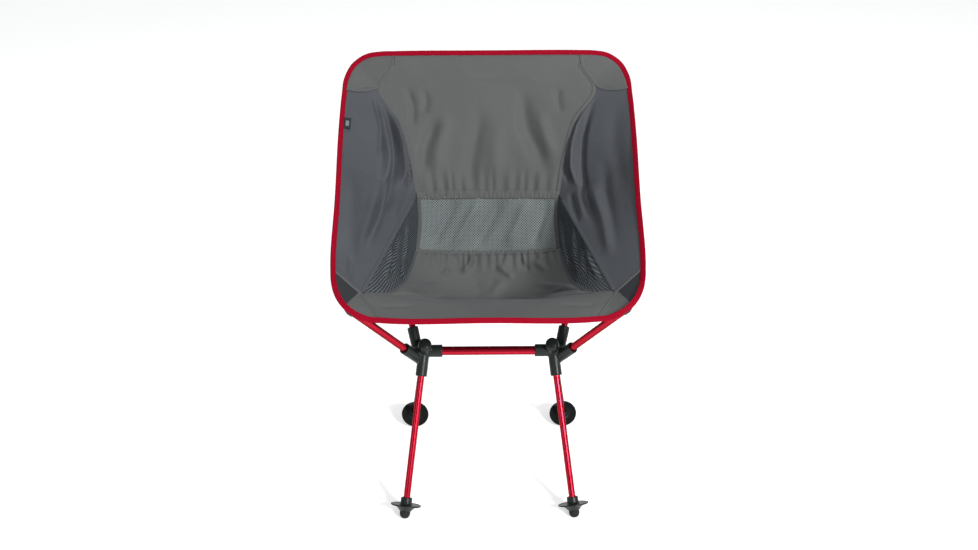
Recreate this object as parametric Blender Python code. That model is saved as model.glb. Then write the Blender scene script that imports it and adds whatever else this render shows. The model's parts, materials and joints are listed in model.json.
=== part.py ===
"""Ultralight backpacking chair: two five-socket hubs on a crossbar, four legs, four sling poles
and a sewn bucket sling that hangs from the four pole tips.

Sizes below are millimetres, turned into metres by MM. x is to the right, y to the back, z up.
The hubs' centres lie at y = 0 in the numbers; SHIFT_Y moves the whole chair so that the origin is
the middle of its footprint, on the ground.
"""
import math

import bmesh
import bpy
import numpy as np
from mathutils import Matrix, Vector

MM = 0.001
SHIFT_Y = -91.5
GAP = 0.3

# Frame: where the axes run.
HUB = (108.5, 0.0, 239.0)
FOOT_X = 142.0
FOOT_Y = 145.0
SEAT_AXIS = ((121.0, -8.0, 230.5), (219.0, -92.0, 370.0))
BACK_AXIS = ((121.0, 8.0, 240.0), (236.0, 331.0, 630.0))
CROSSBAR_Z = 237.5

# Tubes: outer radii and wall.
LEG_R = 5.5
BACK_POLE_R = 5.4
SEAT_POLE_R = 6.2
CROSSBAR_R = 7.4
WALL = 0.75
FERRULE_R = 4.3
FERRULE_LENGTH = 44.0
CORD_R = 1.25
CAP_WALL = 1.2
CAP_NOSE = 8.0
CAP_SLEEVE = 12.0
TUBE_SIDES = 16
CROSSBAR_SIDES = 18

# Points nearer than this are merged after a Boolean.
MERGE = 0.01

# Hub sockets: distance of each mouth from its axis point, and the depth of the bore.
LEG_MOUTH = 44.0
SEAT_MOUTH = 36.0
BACK_MOUTH = 35.0
CROSSBAR_MOUTH_X = 77.7
LEG_BORE_END = 16.0
SEAT_BORE_END = 11.0
BACK_BORE_END = 10.0
CROSSBAR_BORE_END_X = 100.5
BARREL_R = 9.7
CROSSBAR_BARREL_R = 10.6
BARREL_SIDES = 18
LEG_BARREL_START = -6.0
BAR_BARREL_START = -4.0
POLE_BARREL_START = -9.0
HEART = (114.0, 0.0, 236.5)
HEART_R = 13.5
RIB_ON_LEG = (8.0, 33.0)
RIB_ON_SEAT = 25.0
RIB_THICK = 3.2
CORE_ROOM_R = 5.0
TURN_ROOM_R = 3.8
DOME_R = 11.4
DOME_TOP = 25.0
PASSAGE_R = 3.0
CORD_TURN_AT = 6.5
BAR_CORD_GAP = 3.5
LEG_CORD_SHORT = 12.0
POLE_CORD_SHORT = 14.0
CORD_BEND = 5.0
POLE_CORD_BEND = 3.0

# Feet, measured up the leg's axis from the ground.
TIP_R = 8.75
TIP_CENTRE = 8.84
TIP_TOP = 13.0
DISC_R = 25.2
DISC_UNDER = 21.1
DISC_TOP = 23.9
COLLAR_R = 9.4
COLLAR_TOP = 35.0
TUBE_SEAT = 15.2
SPIGOT_R = 5.0
SPIGOT_DEPTH = 4.7
FOOT_SIDES = 20
TIP_SIDES = 16

# Sling.
CLOTH = 1.5
SEAM_SETBACK = 0.8
PATCH_EASE = 0.8
WING_EASE = 0.5
BINDING_WIDTH = 9.0
BINDING_THICK = 3.0
RIM_SETBACK = BINDING_WIDTH / 2 + 0.8
PATCH_END_GAP = RIM_SETBACK + 4.2
LABEL_SPAN = (0.168, 0.229)
LABEL_REACH = 0.11
LABEL_THICK = 1.0
WING_SAG = 3.0
GUSSET_SAG = 1.5
SAG_WAY = (0.35, 0.45, -0.82)
STRIP_BEND = 2.2
FRONT_HEM_EASE = 1.6
BACK_HEM_EASE = 0.8
GUSSET_EASE = 0.7
WING_SPAN = (0.004, 0.996)
GUSSET_SPAN = (0.03, 0.94)
WHOLE_SPAN = (0.0, 1.0)

# Rows and columns of each sheet.
SEAT_GRID = (22, 11)
LUMBAR_GRID = (5, 9)
BACK_GRID = (18, 9)
WING_GRID = (22, 5)
GUSSET_GRID = (13, 4)
TOP_PATCH_GRID = (14, 5)
FRONT_PATCH_GRID = (9, 5)
POCKET_GRID = (6, 9)
LABEL_GRID = (3, 3)

# Corner pockets: room round the cap, bulge of the middle, its rise, and how far the hem drops.
TOP_POCKET = (3.5, 4.0, 11.0, 13.0)
FRONT_POCKET = (2.6, 1.5, 9.0, 6.0)
POCKET_WRAP = 100.0

# Points the cloth faces and the binding leans toward.
BUCKET_POINT = (0.0, 90.0, 420.0)
BINDING_AIM = (0.0, 90.0, 330.0)

# Rim of the sling, right half, from the middle of the front edge to the middle of the top edge.
RIM = [
    (0.0, -118.0, 361.6),
    (164.0, -117.5, 362.5),
    (184.0, -117.0, 364.3),
    (204.0, -115.0, 372.5),
    (221.0, -107.0, 383.0),
    (235.0, -88.0, 396.0),
    (241.0, -68.0, 406.0),
    (244.0, -45.0, 415.5),
    (247.0, 73.0, 484.0),
    (251.5, 220.0, 569.0),
    (251.0, 268.0, 598.5),
    (247.9, 298.0, 622.0),
    (235.1, 320.0, 640.3),
    (215.8, 328.0, 651.6),
    (187.3, 331.0, 655.9),
    (166.0, 331.0, 656.4),
    (0.0, 331.0, 656.8),
]
FRONT_PATCH_END = (166.0, -117.5, 362.6)
GUSSET_FRONT = (198.0, -66.0, 381.0)
WING_FRONT = (244.0, -45.0, 415.5)
GUSSET_BACK = (126.5, 208.0, 432.5)
WING_TOP = (249.9, 279.0, 607.0)
PATCH_CORNER = (192.0, 299.5, 605.0)
TOP_PATCH_END = (166.0, 331.0, 656.4)

# Middle strip of the sling: stations of (middle y, middle z, edge point), front to top.
SEAT_STATIONS = [
    (-118.0, 361.6, (166.0, -117.5, 362.6)),
    (-85.0, 363.0, (182.0, -92.0, 372.5)),
    (-50.0, 361.0, GUSSET_FRONT),
    (-15.0, 343.0, (165.0, -35.0, 367.0)),
    (20.0, 312.0, (148.5, 12.0, 354.6)),
    (58.0, 288.0, (141.0, 52.0, 343.5)),
    (97.0, 281.0, (137.3, 90.0, 340.5)),
    (137.0, 298.0, (132.2, 122.0, 344.0)),
    (176.0, 337.0, (128.1, 155.0, 352.5)),
]
MESH_STATIONS = [
    (176.0, 337.0, (128.1, 155.0, 352.5)),
    (196.0, 386.6, (124.2, 186.0, 393.0)),
    (215.0, 431.0, GUSSET_BACK),
]
BACK_STATIONS = [
    (215.0, 431.0, GUSSET_BACK),
    (240.0, 480.0, (135.5, 232.0, 484.0)),
    (276.0, 549.5, (157.0, 268.0, 552.0)),
    (305.0, 606.0, PATCH_CORNER),
    (313.0, 621.5, (179.5, 310.5, 622.5)),
    (321.0, 637.0, (168.5, 319.4, 637.0)),
    (331.0, 656.8, TOP_PATCH_END),
]

RED = (0.42, 0.012, 0.028)
DARK_PLASTIC = (0.028, 0.036, 0.035)
RUBBER = (0.012, 0.014, 0.015)
GREY_CLOTH = (0.115, 0.120, 0.115)
MESH_CLOTH = (0.17, 0.21, 0.20)
BINDING_RED = (0.45, 0.004, 0.030)
CORD_GREY = (0.30, 0.30, 0.32)
ALLOY = (0.60, 0.61, 0.63)


def clear_scene():
    for obj in list(bpy.data.objects):
        bpy.data.objects.remove(obj, do_unlink=True)


def material(name, colour, roughness, metallic=0.0):
    found = bpy.data.materials.get(name)
    if found:
        return found
    made = bpy.data.materials.new(name)
    made.use_nodes = True
    shader = made.node_tree.nodes["Principled BSDF"]
    shader.inputs["Base Color"].default_value = (*colour, 1.0)
    shader.inputs["Roughness"].default_value = roughness
    shader.inputs["Metallic"].default_value = metallic
    made.diffuse_color = (*colour, 1.0)
    return made


def point(values):
    """A point in metres from millimetres in the hub's numbers."""
    return Vector((values[0], values[1] + SHIFT_Y, values[2])) * MM


def mirrored(values, side):
    return (values[0] * side, values[1], values[2])


def add_object(name, mesh, finish, smooth_angle=35.0):
    mesh.materials.append(finish)
    mesh.shade_smooth()
    mesh.set_sharp_from_angle(angle=math.radians(smooth_angle))
    obj = bpy.data.objects.new(name, mesh)
    bpy.context.scene.collection.objects.link(obj)
    return obj


def mesh_from(name, verts, faces):
    mesh = bpy.data.meshes.new(name)
    mesh.from_pydata([tuple(v) for v in verts], [], faces)
    shape = bmesh.new()
    shape.from_mesh(mesh)
    bmesh.ops.recalc_face_normals(shape, faces=shape.faces)
    if shape.calc_volume(signed=True) < 0:
        bmesh.ops.reverse_faces(shape, faces=shape.faces)
    shape.to_mesh(mesh)
    shape.free()
    return mesh


def turned_mesh(name, profile, sides):
    """A closed body turned about Z from (radius, height) points in mm, a closed outline."""
    verts, faces, rings = [], [], []
    for radius, height in profile:
        if radius < 1e-6:
            rings.append([len(verts)])
            verts.append((0.0, 0.0, height * MM))
            continue
        rings.append(range(len(verts), len(verts) + sides))
        for k in range(sides):
            turn = 2 * math.pi * k / sides
            verts.append((radius * MM * math.cos(turn), radius * MM * math.sin(turn), height * MM))
    count = len(rings)
    for i in range(count):
        low, high = rings[i], rings[(i + 1) % count]
        if len(low) == 1 and len(high) == 1:
            continue
        for k in range(sides):
            n = (k + 1) % sides
            if len(low) == 1:
                faces.append((low[0], high[k], high[n]))
            elif len(high) == 1:
                faces.append((low[k], high[0], low[n]))
            else:
                faces.append((low[k], high[k], high[n], low[n]))
    return mesh_from(name, verts, faces)


def place_along(obj, start, direction):
    """Puts the object's origin at start, with its Z along direction."""
    obj.location = start
    obj.rotation_mode = "QUATERNION"
    obj.rotation_quaternion = Vector(direction).normalized().to_track_quat("Z", "Y")


def axis_of(line, side):
    start, end = point(mirrored(line[0], side)), point(mirrored(line[1], side))
    return start, (end - start).normalized(), (end - start).length / MM


def tube_profile(outer, inner, low, high):
    return [(inner, low), (outer, low), (outer, high), (inner, high)]


def turned(name, profile, sides, start, direction, finish):
    obj = add_object(name, turned_mesh(name, profile, sides), finish)
    place_along(obj, start, direction)
    return obj


def hull_mesh(name, points):
    shape = bmesh.new()
    for place in points:
        shape.verts.new(place)
    bmesh.ops.convex_hull(shape, input=shape.verts)
    loose = [v for v in shape.verts if not v.link_faces]
    bmesh.ops.delete(shape, geom=loose, context="VERTS")
    bmesh.ops.recalc_face_normals(shape, faces=shape.faces)
    mesh = bpy.data.meshes.new(name)
    shape.to_mesh(mesh)
    shape.free()
    return mesh


def ball_points(centre, radius, rings=6, sides=12):
    """Points on a ball, for hulls."""
    found = [centre + Vector((0, 0, radius)), centre - Vector((0, 0, radius))]
    for i in range(1, rings):
        tilt = math.pi * i / rings
        for k in range(sides):
            turn = 2 * math.pi * k / sides
            across = radius * math.sin(tilt)
            offset = Vector((across * math.cos(turn), across * math.sin(turn), radius * math.cos(tilt)))
            found.append(centre + offset)
    return found


def combine(obj, tools, operation):
    """Applies one Boolean with all the tools and removes them."""
    group = bpy.data.collections.new("tools")
    bpy.context.scene.collection.children.link(group)
    for tool in tools:
        group.objects.link(tool)
    change = obj.modifiers.new(operation.lower(), "BOOLEAN")
    change.operation = operation
    change.solver = "EXACT"
    change.operand_type = "COLLECTION"
    change.collection = group
    change.use_self = True
    bpy.context.view_layer.update()
    graph = bpy.context.evaluated_depsgraph_get()
    result = bpy.data.meshes.new_from_object(obj.evaluated_get(graph))
    obj.modifiers.clear()
    obj.data = result
    for tool in tools:
        bpy.data.objects.remove(tool, do_unlink=True)
    bpy.data.collections.remove(group)
    shape = bmesh.new()
    shape.from_mesh(result)
    bmesh.ops.remove_doubles(shape, verts=shape.verts, dist=MERGE * MM)
    bmesh.ops.dissolve_degenerate(shape, edges=shape.edges, dist=MERGE * MM)
    shape.to_mesh(result)
    shape.free()


# ---------------------------------------------------------------- frame


def leg_axis(side, end):
    """The core of the hub, the direction down the leg and the length to the ground."""
    core = point(mirrored(HUB, side))
    ground = point((FOOT_X * side, FOOT_Y * end, 0.0))
    return core, (ground - core).normalized(), (ground - core).length / MM


def rod(name, start, direction, radius, low, high, sides=20):
    """A solid round bar used to build or cut the hub, turned a little so that no two edges meet."""
    profile = [(0.0, low), (radius, low), (radius, high), (0.0, high)]
    mesh = turned_mesh(name, profile, sides)
    mesh.transform(Matrix.Rotation(sides * 0.37 + direction[1], 4, "Z"))
    obj = bpy.data.objects.new(name, mesh)
    bpy.context.scene.collection.objects.link(obj)
    place_along(obj, start, direction)
    return obj


def rib(name, places, thickness):
    """A flat web between three points."""
    a, b, c = places
    normal = (b - a).cross(c - a).normalized() * (thickness * MM / 2)
    corners = [p + normal for p in places] + [p - normal for p in places]
    mesh = hull_mesh(name, corners)
    obj = bpy.data.objects.new(name, mesh)
    bpy.context.scene.collection.objects.link(obj)
    return obj


def cord_turns(side):
    """Where the poles' shock cord turns inside the hub."""
    seat_start, seat_way, _ = axis_of(SEAT_AXIS, side)
    back_start, back_way, _ = axis_of(BACK_AXIS, side)
    return seat_start + seat_way * CORD_TURN_AT * MM, back_start + back_way * CORD_TURN_AT * MM


def make_hub(side, name, finish):
    core, down_back, _ = leg_axis(side, 1)
    _, down_front, _ = leg_axis(side, -1)
    seat_start, seat_way, _ = axis_of(SEAT_AXIS, side)
    back_start, back_way, _ = axis_of(BACK_AXIS, side)
    bar_centre = point((HUB[0] * side, HUB[1], CROSSBAR_Z))
    inward = Vector((-side, 0.0, 0.0))
    bar_mouth = HUB[0] - CROSSBAR_MOUTH_X
    bar_end = HUB[0] - CROSSBAR_BORE_END_X

    dome = [
        (0.0, -DOME_TOP),
        (6.0, -DOME_TOP + 0.6),
        (9.0, -DOME_TOP + 2.2),
        (10.9, -DOME_TOP + 4.6),
        (DOME_R, -DOME_TOP + 8.0),
        (DOME_R, 9.0),
        (BARREL_R, 13.0),
        (BARREL_R, LEG_MOUTH),
        (0.0, LEG_MOUTH),
    ]
    hub = turned(name, dome, BARREL_SIDES, core, down_back, finish)
    heart = point(mirrored(HEART, side))
    parts = [
        rod("front_barrel", core, down_front, BARREL_R, LEG_BARREL_START, LEG_MOUTH, BARREL_SIDES),
        rod("bar_barrel", bar_centre, inward, CROSSBAR_BARREL_R, BAR_BARREL_START, bar_mouth, BARREL_SIDES),
        rod("seat_barrel", seat_start, seat_way, BARREL_R, POLE_BARREL_START, SEAT_MOUTH, BARREL_SIDES),
        rod("back_barrel", back_start, back_way, BARREL_R - 0.2, POLE_BARREL_START, BACK_MOUTH, BARREL_SIDES),
    ]
    ball = bpy.data.objects.new("heart", hull_mesh("heart", ball_points(heart, HEART_R * MM, 6, 12)))
    bpy.context.scene.collection.objects.link(ball)
    parts.append(ball)
    web = [core + down_front * reach * MM for reach in RIB_ON_LEG]
    web.append(seat_start + seat_way * RIB_ON_SEAT * MM)
    parts.append(rib("front_rib", web, RIB_THICK))
    combine(hub, parts, "UNION")
    cuts = [
        rod("cut", core, down_back, LEG_R + GAP, LEG_BORE_END, LEG_MOUTH + 5, 16),
        rod("cut", core, down_front, LEG_R + GAP, LEG_BORE_END, LEG_MOUTH + 5, 16),
        rod("cut", bar_centre, inward, CROSSBAR_R + GAP, bar_end, bar_mouth + 5, 16),
        rod("cut", seat_start, seat_way, SEAT_POLE_R + GAP, SEAT_BORE_END, SEAT_MOUTH + 5, 16),
        rod("cut", back_start, back_way, BACK_POLE_R + GAP, BACK_BORE_END, BACK_MOUTH + 5, 16),
        rod("cut", core, down_back, PASSAGE_R, -1.0, LEG_BORE_END + 2, 8),
        rod("cut", core, down_front, PASSAGE_R, -1.0, LEG_BORE_END + 2, 8),
    ]
    cuts.append(rod("cut", bar_centre, inward, CORD_R + 0.9, BAR_CORD_GAP - 1.0, bar_end + 2, 8))
    from_seat, from_back = cord_turns(side)
    link = from_back - from_seat
    cuts.append(rod("cut", seat_start, seat_way, PASSAGE_R, CORD_TURN_AT, SEAT_BORE_END + 2, 8))
    cuts.append(rod("cut", back_start, back_way, PASSAGE_R, CORD_TURN_AT, BACK_BORE_END + 2, 8))
    cuts.append(rod("cut", from_seat, link, PASSAGE_R, 0.0, link.length / MM, 9))
    for centre, radius in ((core, CORE_ROOM_R), (from_seat, TURN_ROOM_R), (from_back, TURN_ROOM_R)):
        room = bpy.data.objects.new("room", hull_mesh("room", ball_points(centre, radius * MM, 4, 9)))
        bpy.context.scene.collection.objects.link(room)
        cuts.append(room)
    combine(hub, cuts, "DIFFERENCE")
    return hub


def make_foot(side, end, name, plastic, rubber):
    core, down, length = leg_axis(side, end)
    ground = core + down * length * MM
    up = -down
    body = [
        (0.0, TIP_TOP - SPIGOT_DEPTH),
        (SPIGOT_R, TIP_TOP - SPIGOT_DEPTH),
        (SPIGOT_R, TIP_TOP + GAP),
        (8.9, TIP_TOP + GAP),
        (9.6, 14.6),
        (11.4, 16.6),
        (13.8, 18.6),
        (16.8, 20.2),
        (DISC_R, DISC_UNDER + 0.4),
        (DISC_R, DISC_TOP),
        (DISC_R - 2.6, DISC_TOP),
        (DISC_R - 3.4, DISC_TOP - 0.6),
        (11.0, DISC_TOP),
        (COLLAR_R, DISC_TOP + 1.6),
        (COLLAR_R, COLLAR_TOP - 1.0),
        (COLLAR_R - 1.0, COLLAR_TOP),
        (LEG_R + GAP, COLLAR_TOP),
        (LEG_R + GAP, TUBE_SEAT),
        (0.0, TUBE_SEAT),
    ]
    turned("foot_" + name, body, FOOT_SIDES, ground, up, plastic)
    socket_r, socket_end = SPIGOT_R + GAP, TIP_TOP - SPIGOT_DEPTH - GAP
    tip = [(0.0, socket_end), (socket_r, socket_end), (socket_r, TIP_TOP), (TIP_R, TIP_TOP)]
    for k in range(4):
        turn = math.radians(90 * k / 4)
        tip.append((TIP_R * math.cos(turn), TIP_CENTRE - TIP_R * math.sin(turn)))
    tip.append((0.0, TIP_CENTRE - TIP_R))
    tread = turned("foot_tip_" + name, tip, TIP_SIDES, ground, up, rubber)
    below = [Vector((x, y, z)) for x in (-0.05, 0.05) for y in (-0.05, 0.05) for z in (-0.05, 0.0)]
    slab = [Vector((ground.x, ground.y, 0.0)) + corner for corner in below]
    floor = bpy.data.objects.new("floor_cut", hull_mesh("floor_cut", slab))
    bpy.context.scene.collection.objects.link(floor)
    combine(tread, [floor], "DIFFERENCE")


def make_leg(side, end, name, red):
    core, down, length = leg_axis(side, end)
    low, high = LEG_BORE_END + GAP, length - TUBE_SEAT - GAP
    profile = tube_profile(LEG_R, LEG_R - WALL, low, high)
    turned("leg_tube_" + name, profile, TUBE_SIDES, core, down, red)


def make_poles(side, name, red, plastic, alloy):
    start, way, length = axis_of(SEAT_AXIS, side)
    low, high = SEAT_BORE_END + GAP, length - CAP_NOSE
    inner = SEAT_POLE_R - WALL
    turned("seat_pole_" + name, tube_profile(SEAT_POLE_R, inner, low, high), TUBE_SIDES, start, way, red)
    pole_cap("seat_pole_cap_" + name, start, way, length, high, SEAT_POLE_R, plastic)

    start, way, length = axis_of(BACK_AXIS, side)
    low, high = BACK_BORE_END + GAP, length - CAP_NOSE
    middle = (low + high) / 2
    inner = BACK_POLE_R - WALL
    lower = tube_profile(BACK_POLE_R, inner, low, middle - GAP / 2)
    upper = tube_profile(BACK_POLE_R, inner, middle + GAP / 2, high)
    turned("back_pole_lower_" + name, lower, TUBE_SIDES, start, way, red)
    turned("back_pole_upper_" + name, upper, TUBE_SIDES, start, way, red)
    half = FERRULE_LENGTH / 2
    ferrule = tube_profile(FERRULE_R, FERRULE_R - WALL, middle - half, middle + half)
    turned("back_pole_ferrule_" + name, ferrule, TUBE_SIDES, start, way, alloy)
    pole_cap("back_pole_cap_" + name, start, way, length, high, BACK_POLE_R, plastic)


def pole_cap(name, start, way, end, tube_end, tube_r, plastic):
    """A moulded end cap: a sleeve over the tube's end with a round nose."""
    bore = tube_r + GAP
    outer = bore + CAP_WALL
    profile = [(0.0, tube_end + GAP), (bore, tube_end + GAP), (bore, tube_end - CAP_SLEEVE)]
    profile.append((outer - 0.5, tube_end - CAP_SLEEVE))
    profile.append((outer, tube_end - CAP_SLEEVE + 1.0))
    for k in range(3):
        turn = math.radians(90 * k / 3)
        centre = end - outer
        profile.append((outer * math.cos(turn), centre + outer * math.sin(turn)))
    profile.append((0.0, end))
    turned(name, profile, TUBE_SIDES, start, way, plastic)


def make_crossbar(red):
    reach = CROSSBAR_BORE_END_X - GAP
    profile = tube_profile(CROSSBAR_R, CROSSBAR_R - WALL, -reach, reach)
    turned("crossbar", profile, CROSSBAR_SIDES, point((0.0, 0.0, CROSSBAR_Z)), Vector((1, 0, 0)), red)


def cord(name, places, finish):
    """A shock cord along a bent line, as a round curve with filled ends."""
    curve = bpy.data.curves.new(name, "CURVE")
    curve.dimensions = "3D"
    curve.bevel_depth = CORD_R * MM
    curve.bevel_resolution = 1
    curve.use_fill_caps = True
    spline = curve.splines.new("POLY")
    spline.points.add(len(places) - 1)
    for knot, place in zip(spline.points, places):
        knot.co = (*place, 1.0)
    curve.materials.append(finish)
    obj = bpy.data.objects.new(name, curve)
    bpy.context.scene.collection.objects.link(obj)


def rounded_corner(before, corner, after, reach, steps=4):
    """Points of a smooth turn at a corner, starting reach before it and ending reach after it."""
    start = corner + (before - corner).normalized() * reach
    end = corner + (after - corner).normalized() * reach
    found = []
    for k in range(steps + 1):
        t = k / steps
        found.append(start * (1 - t) ** 2 + corner * 2 * t * (1 - t) + end * t**2)
    return found


def make_cords(side, name, finish):
    core, down_front, length = leg_axis(side, -1)
    _, down_back, _ = leg_axis(side, 1)
    reach = (length - TUBE_SEAT - LEG_CORD_SHORT) * MM
    front, back = core + down_front * reach, core + down_back * reach
    turn = rounded_corner(front, core, back, CORD_BEND * MM)
    cord("shock_cord_legs_" + name, [front, *turn, back], finish)

    seat_start, seat_way, seat_length = axis_of(SEAT_AXIS, side)
    back_start, back_way, back_length = axis_of(BACK_AXIS, side)
    seat_hole, back_hole = cord_turns(side)
    seat_end = seat_start + seat_way * (seat_length - POLE_CORD_SHORT) * MM
    back_end = back_start + back_way * (back_length - POLE_CORD_SHORT) * MM
    first = rounded_corner(seat_end, seat_hole, back_hole, POLE_CORD_BEND * MM)
    second = rounded_corner(seat_hole, back_hole, back_end, POLE_CORD_BEND * MM)
    cord("shock_cord_poles_" + name, [seat_end, *first, *second, back_end], finish)


def make_crossbar_cord(finish):
    reach = HUB[0] - BAR_CORD_GAP
    ends = [point((x, 0.0, CROSSBAR_Z)) for x in (-reach, 0.0, reach)]
    cord("shock_cord_crossbar", ends, finish)


# ---------------------------------------------------------------- sling


def smooth_line(points, count):
    """Evenly spaced points on a smooth curve through the given ones."""
    knots = np.array(points, float)
    step = np.linalg.norm(np.diff(knots, axis=0), axis=1)
    at = np.concatenate([[0.0], np.cumsum(step)])
    slope = np.zeros_like(knots)
    chord = np.diff(knots, axis=0) / step[:, None]
    weight = step[1:] + step[:-1]
    inner = chord[:-1] * step[1:, None] + chord[1:] * step[:-1, None]
    slope[1:-1] = inner / weight[:, None]
    slope[0], slope[-1] = chord[0], chord[-1]

    def value(s):
        k = int(np.clip(np.searchsorted(at, s) - 1, 0, len(step) - 1))
        t = (s - at[k]) / step[k]
        a = (1 + 2 * t) * (1 - t) ** 2 * knots[k] + t * (1 - t) ** 2 * step[k] * slope[k]
        b = t * t * (3 - 2 * t) * knots[k + 1] + t * t * (t - 1) * step[k] * slope[k + 1]
        return a + b

    fine = np.array([value(s) for s in np.linspace(0, at[-1], 400)])
    run = np.concatenate([[0.0], np.cumsum(np.linalg.norm(np.diff(fine, axis=0), axis=1))])
    even = np.linspace(0, run[-1], count)
    return np.stack([np.interp(even, run, fine[:, k]) for k in range(3)], axis=1)


def nearest(line, place):
    return int(np.argmin(np.linalg.norm(line - np.array(place), axis=1)))


def between(line, start, end):
    """The stretch of a dense line between the points nearest to start and end."""
    first, last = nearest(line, start), nearest(line, end)
    if first <= last:
        return line[first : last + 1]
    return line[last : first + 1][::-1]


def resampled(line, count):
    run = np.concatenate([[0.0], np.cumsum(np.linalg.norm(np.diff(line, axis=0), axis=1))])
    even = np.linspace(0, run[-1], count)
    return np.stack([np.interp(even, run, line[:, k]) for k in range(3)], axis=1)


def normals_of(grid):
    along = np.gradient(grid, axis=0)
    across = np.gradient(grid, axis=1)
    normal = np.cross(along, across)
    normal /= np.linalg.norm(normal, axis=2)[:, :, None]
    toward = np.array(BUCKET_POINT) - grid
    if np.sum(normal * toward) < 0:
        normal = -normal
    return normal


def sheet(name, grid, side, finish, thickness=CLOTH, lift=0.0):
    """A closed sheet of cloth on a grid of points in mm, on the right (1) or left (-1) side."""
    normal = normals_of(grid)
    rows, columns = grid.shape[:2]
    upper = grid + normal * (lift + thickness / 2)
    lower = grid + normal * (lift - thickness / 2)
    verts = [point(mirrored(p, side)) for p in np.concatenate([upper, lower]).reshape(-1, 3)]
    faces = []
    size = rows * columns

    def at(i, j, layer):
        return layer * size + i * columns + j

    for i in range(rows - 1):
        for j in range(columns - 1):
            for layer in (0, 1):
                faces.append(tuple(at(i + a, j + b, layer) for a, b in ((0, 0), (0, 1), (1, 1), (1, 0))))
    edge = [(0, j) for j in range(columns)] + [(i, columns - 1) for i in range(1, rows)]
    edge += [(rows - 1, j) for j in range(columns - 2, -1, -1)] + [(i, 0) for i in range(rows - 2, 0, -1)]
    for k, (i, j) in enumerate(edge):
        m, n = edge[(k + 1) % len(edge)]
        faces.append((at(i, j, 0), at(m, n, 0), at(m, n, 1), at(i, j, 1)))
    return add_object(name, mesh_from(name, verts, faces), finish, 50.0)


def strip_grid(stations, size, start_setback, end_setback):
    """A grid across the chair's middle: each row runs from the left edge through the middle."""
    rows, columns = size
    middle = smooth_line([(0.0, s[0], s[1]) for s in stations], 200)
    knots = [np.array(s[2]) for s in stations]
    edge = smooth_line(knots, 200)
    heights = np.arange(200)
    marks_middle = [nearest(middle, (0.0, s[0], s[1])) for s in stations]
    marks_edge = [nearest(edge, k) for k in knots]
    length = np.linalg.norm(np.diff(middle, axis=0), axis=1).sum()
    share = np.linspace(start_setback / length, 1 - end_setback / length, rows) * 199
    grid = np.zeros((rows, columns, 3))
    for i, where in enumerate(share):
        centre = np.array([np.interp(where, heights, middle[:, k]) for k in range(3)])
        on_edge = np.interp(where, marks_middle, marks_edge)
        side_point = np.array([np.interp(on_edge, heights, edge[:, k]) for k in range(3)])
        reach = side_point[0] - SEAM_SETBACK
        for j, a in enumerate(np.linspace(-1, 1, columns)):
            bend = abs(a) ** STRIP_BEND
            place = centre + (side_point - centre) * bend
            grid[i, j] = (a * reach, place[1], place[2])
    return grid


def loft_grid(inner, outer, size, inner_setback, outer_setback, ends, sag=0.0):
    """A grid between two dense lines, with the trimmed ends given as fractions."""
    rows, columns = size
    first, second = resampled(inner, 200), resampled(outer, 200)
    grid = np.zeros((rows, columns, 3))
    for i, t in enumerate(np.linspace(ends[0], ends[1], rows)):
        a = np.array([np.interp(t * 199, range(200), first[:, k]) for k in range(3)])
        b = np.array([np.interp(t * 199, range(200), second[:, k]) for k in range(3)])
        width = np.linalg.norm(b - a)
        for j, s in enumerate(np.linspace(inner_setback / width, 1 - outer_setback / width, columns)):
            grid[i, j] = a + (b - a) * s
            dip = sag * math.sin(math.pi * t) * 4 * s * (1 - s)
            grid[i, j] += dip * np.array(SAG_WAY)
    return grid


def rim_line():
    return smooth_line(RIM, 601)


def inward_of(ring):
    """For each point of a closed ring, its tangent and the direction into the sling."""
    tangent = np.roll(ring, -1, axis=0) - np.roll(ring, 1, axis=0)
    tangent /= np.linalg.norm(tangent, axis=1)[:, None]
    inward = np.array(BINDING_AIM) - ring
    inward -= tangent * np.sum(inward * tangent, axis=1)[:, None]
    inward /= np.linalg.norm(inward, axis=1)[:, None]
    return tangent, inward


def full_ring(step):
    half = rim_line()[::step]
    return np.concatenate([half, (half * (-1, 1, 1))[::-1][1:-1]])


def inset_rim(distance):
    """The right half of the rim, moved into the sling."""
    ring = full_ring(1)
    return (ring + inward_of(ring)[1] * distance)[: len(rim_line())]


def clear_of(line, other, distance):
    """The stretch of a line that keeps its distance from another line."""
    gaps = np.linalg.norm(line[:, None] - other[None], axis=2).min(axis=1)
    return line[gaps > distance]


def make_binding(finish):
    """The folded tape round the rim, as one closed ring."""
    ring = full_ring(8)
    tangents, inwards = inward_of(ring)
    count = len(ring)
    verts, faces = [], []
    for k in range(count):
        inward = inwards[k]
        normal = np.cross(tangents[k], inward)
        for a, b in ((-1, -1), (1, -1), (1, 1), (-1, 1)):
            corner = ring[k] + inward * a * BINDING_WIDTH / 2 + normal * b * BINDING_THICK / 2
            verts.append(point(corner))
        for c in range(4):
            n, m = (k + 1) % count, (c + 1) % 4
            faces.append((4 * k + c, 4 * k + m, 4 * n + m, 4 * n + c))
    add_object("binding_tape", mesh_from("binding_tape", verts, faces), finish, 50.0)


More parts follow.
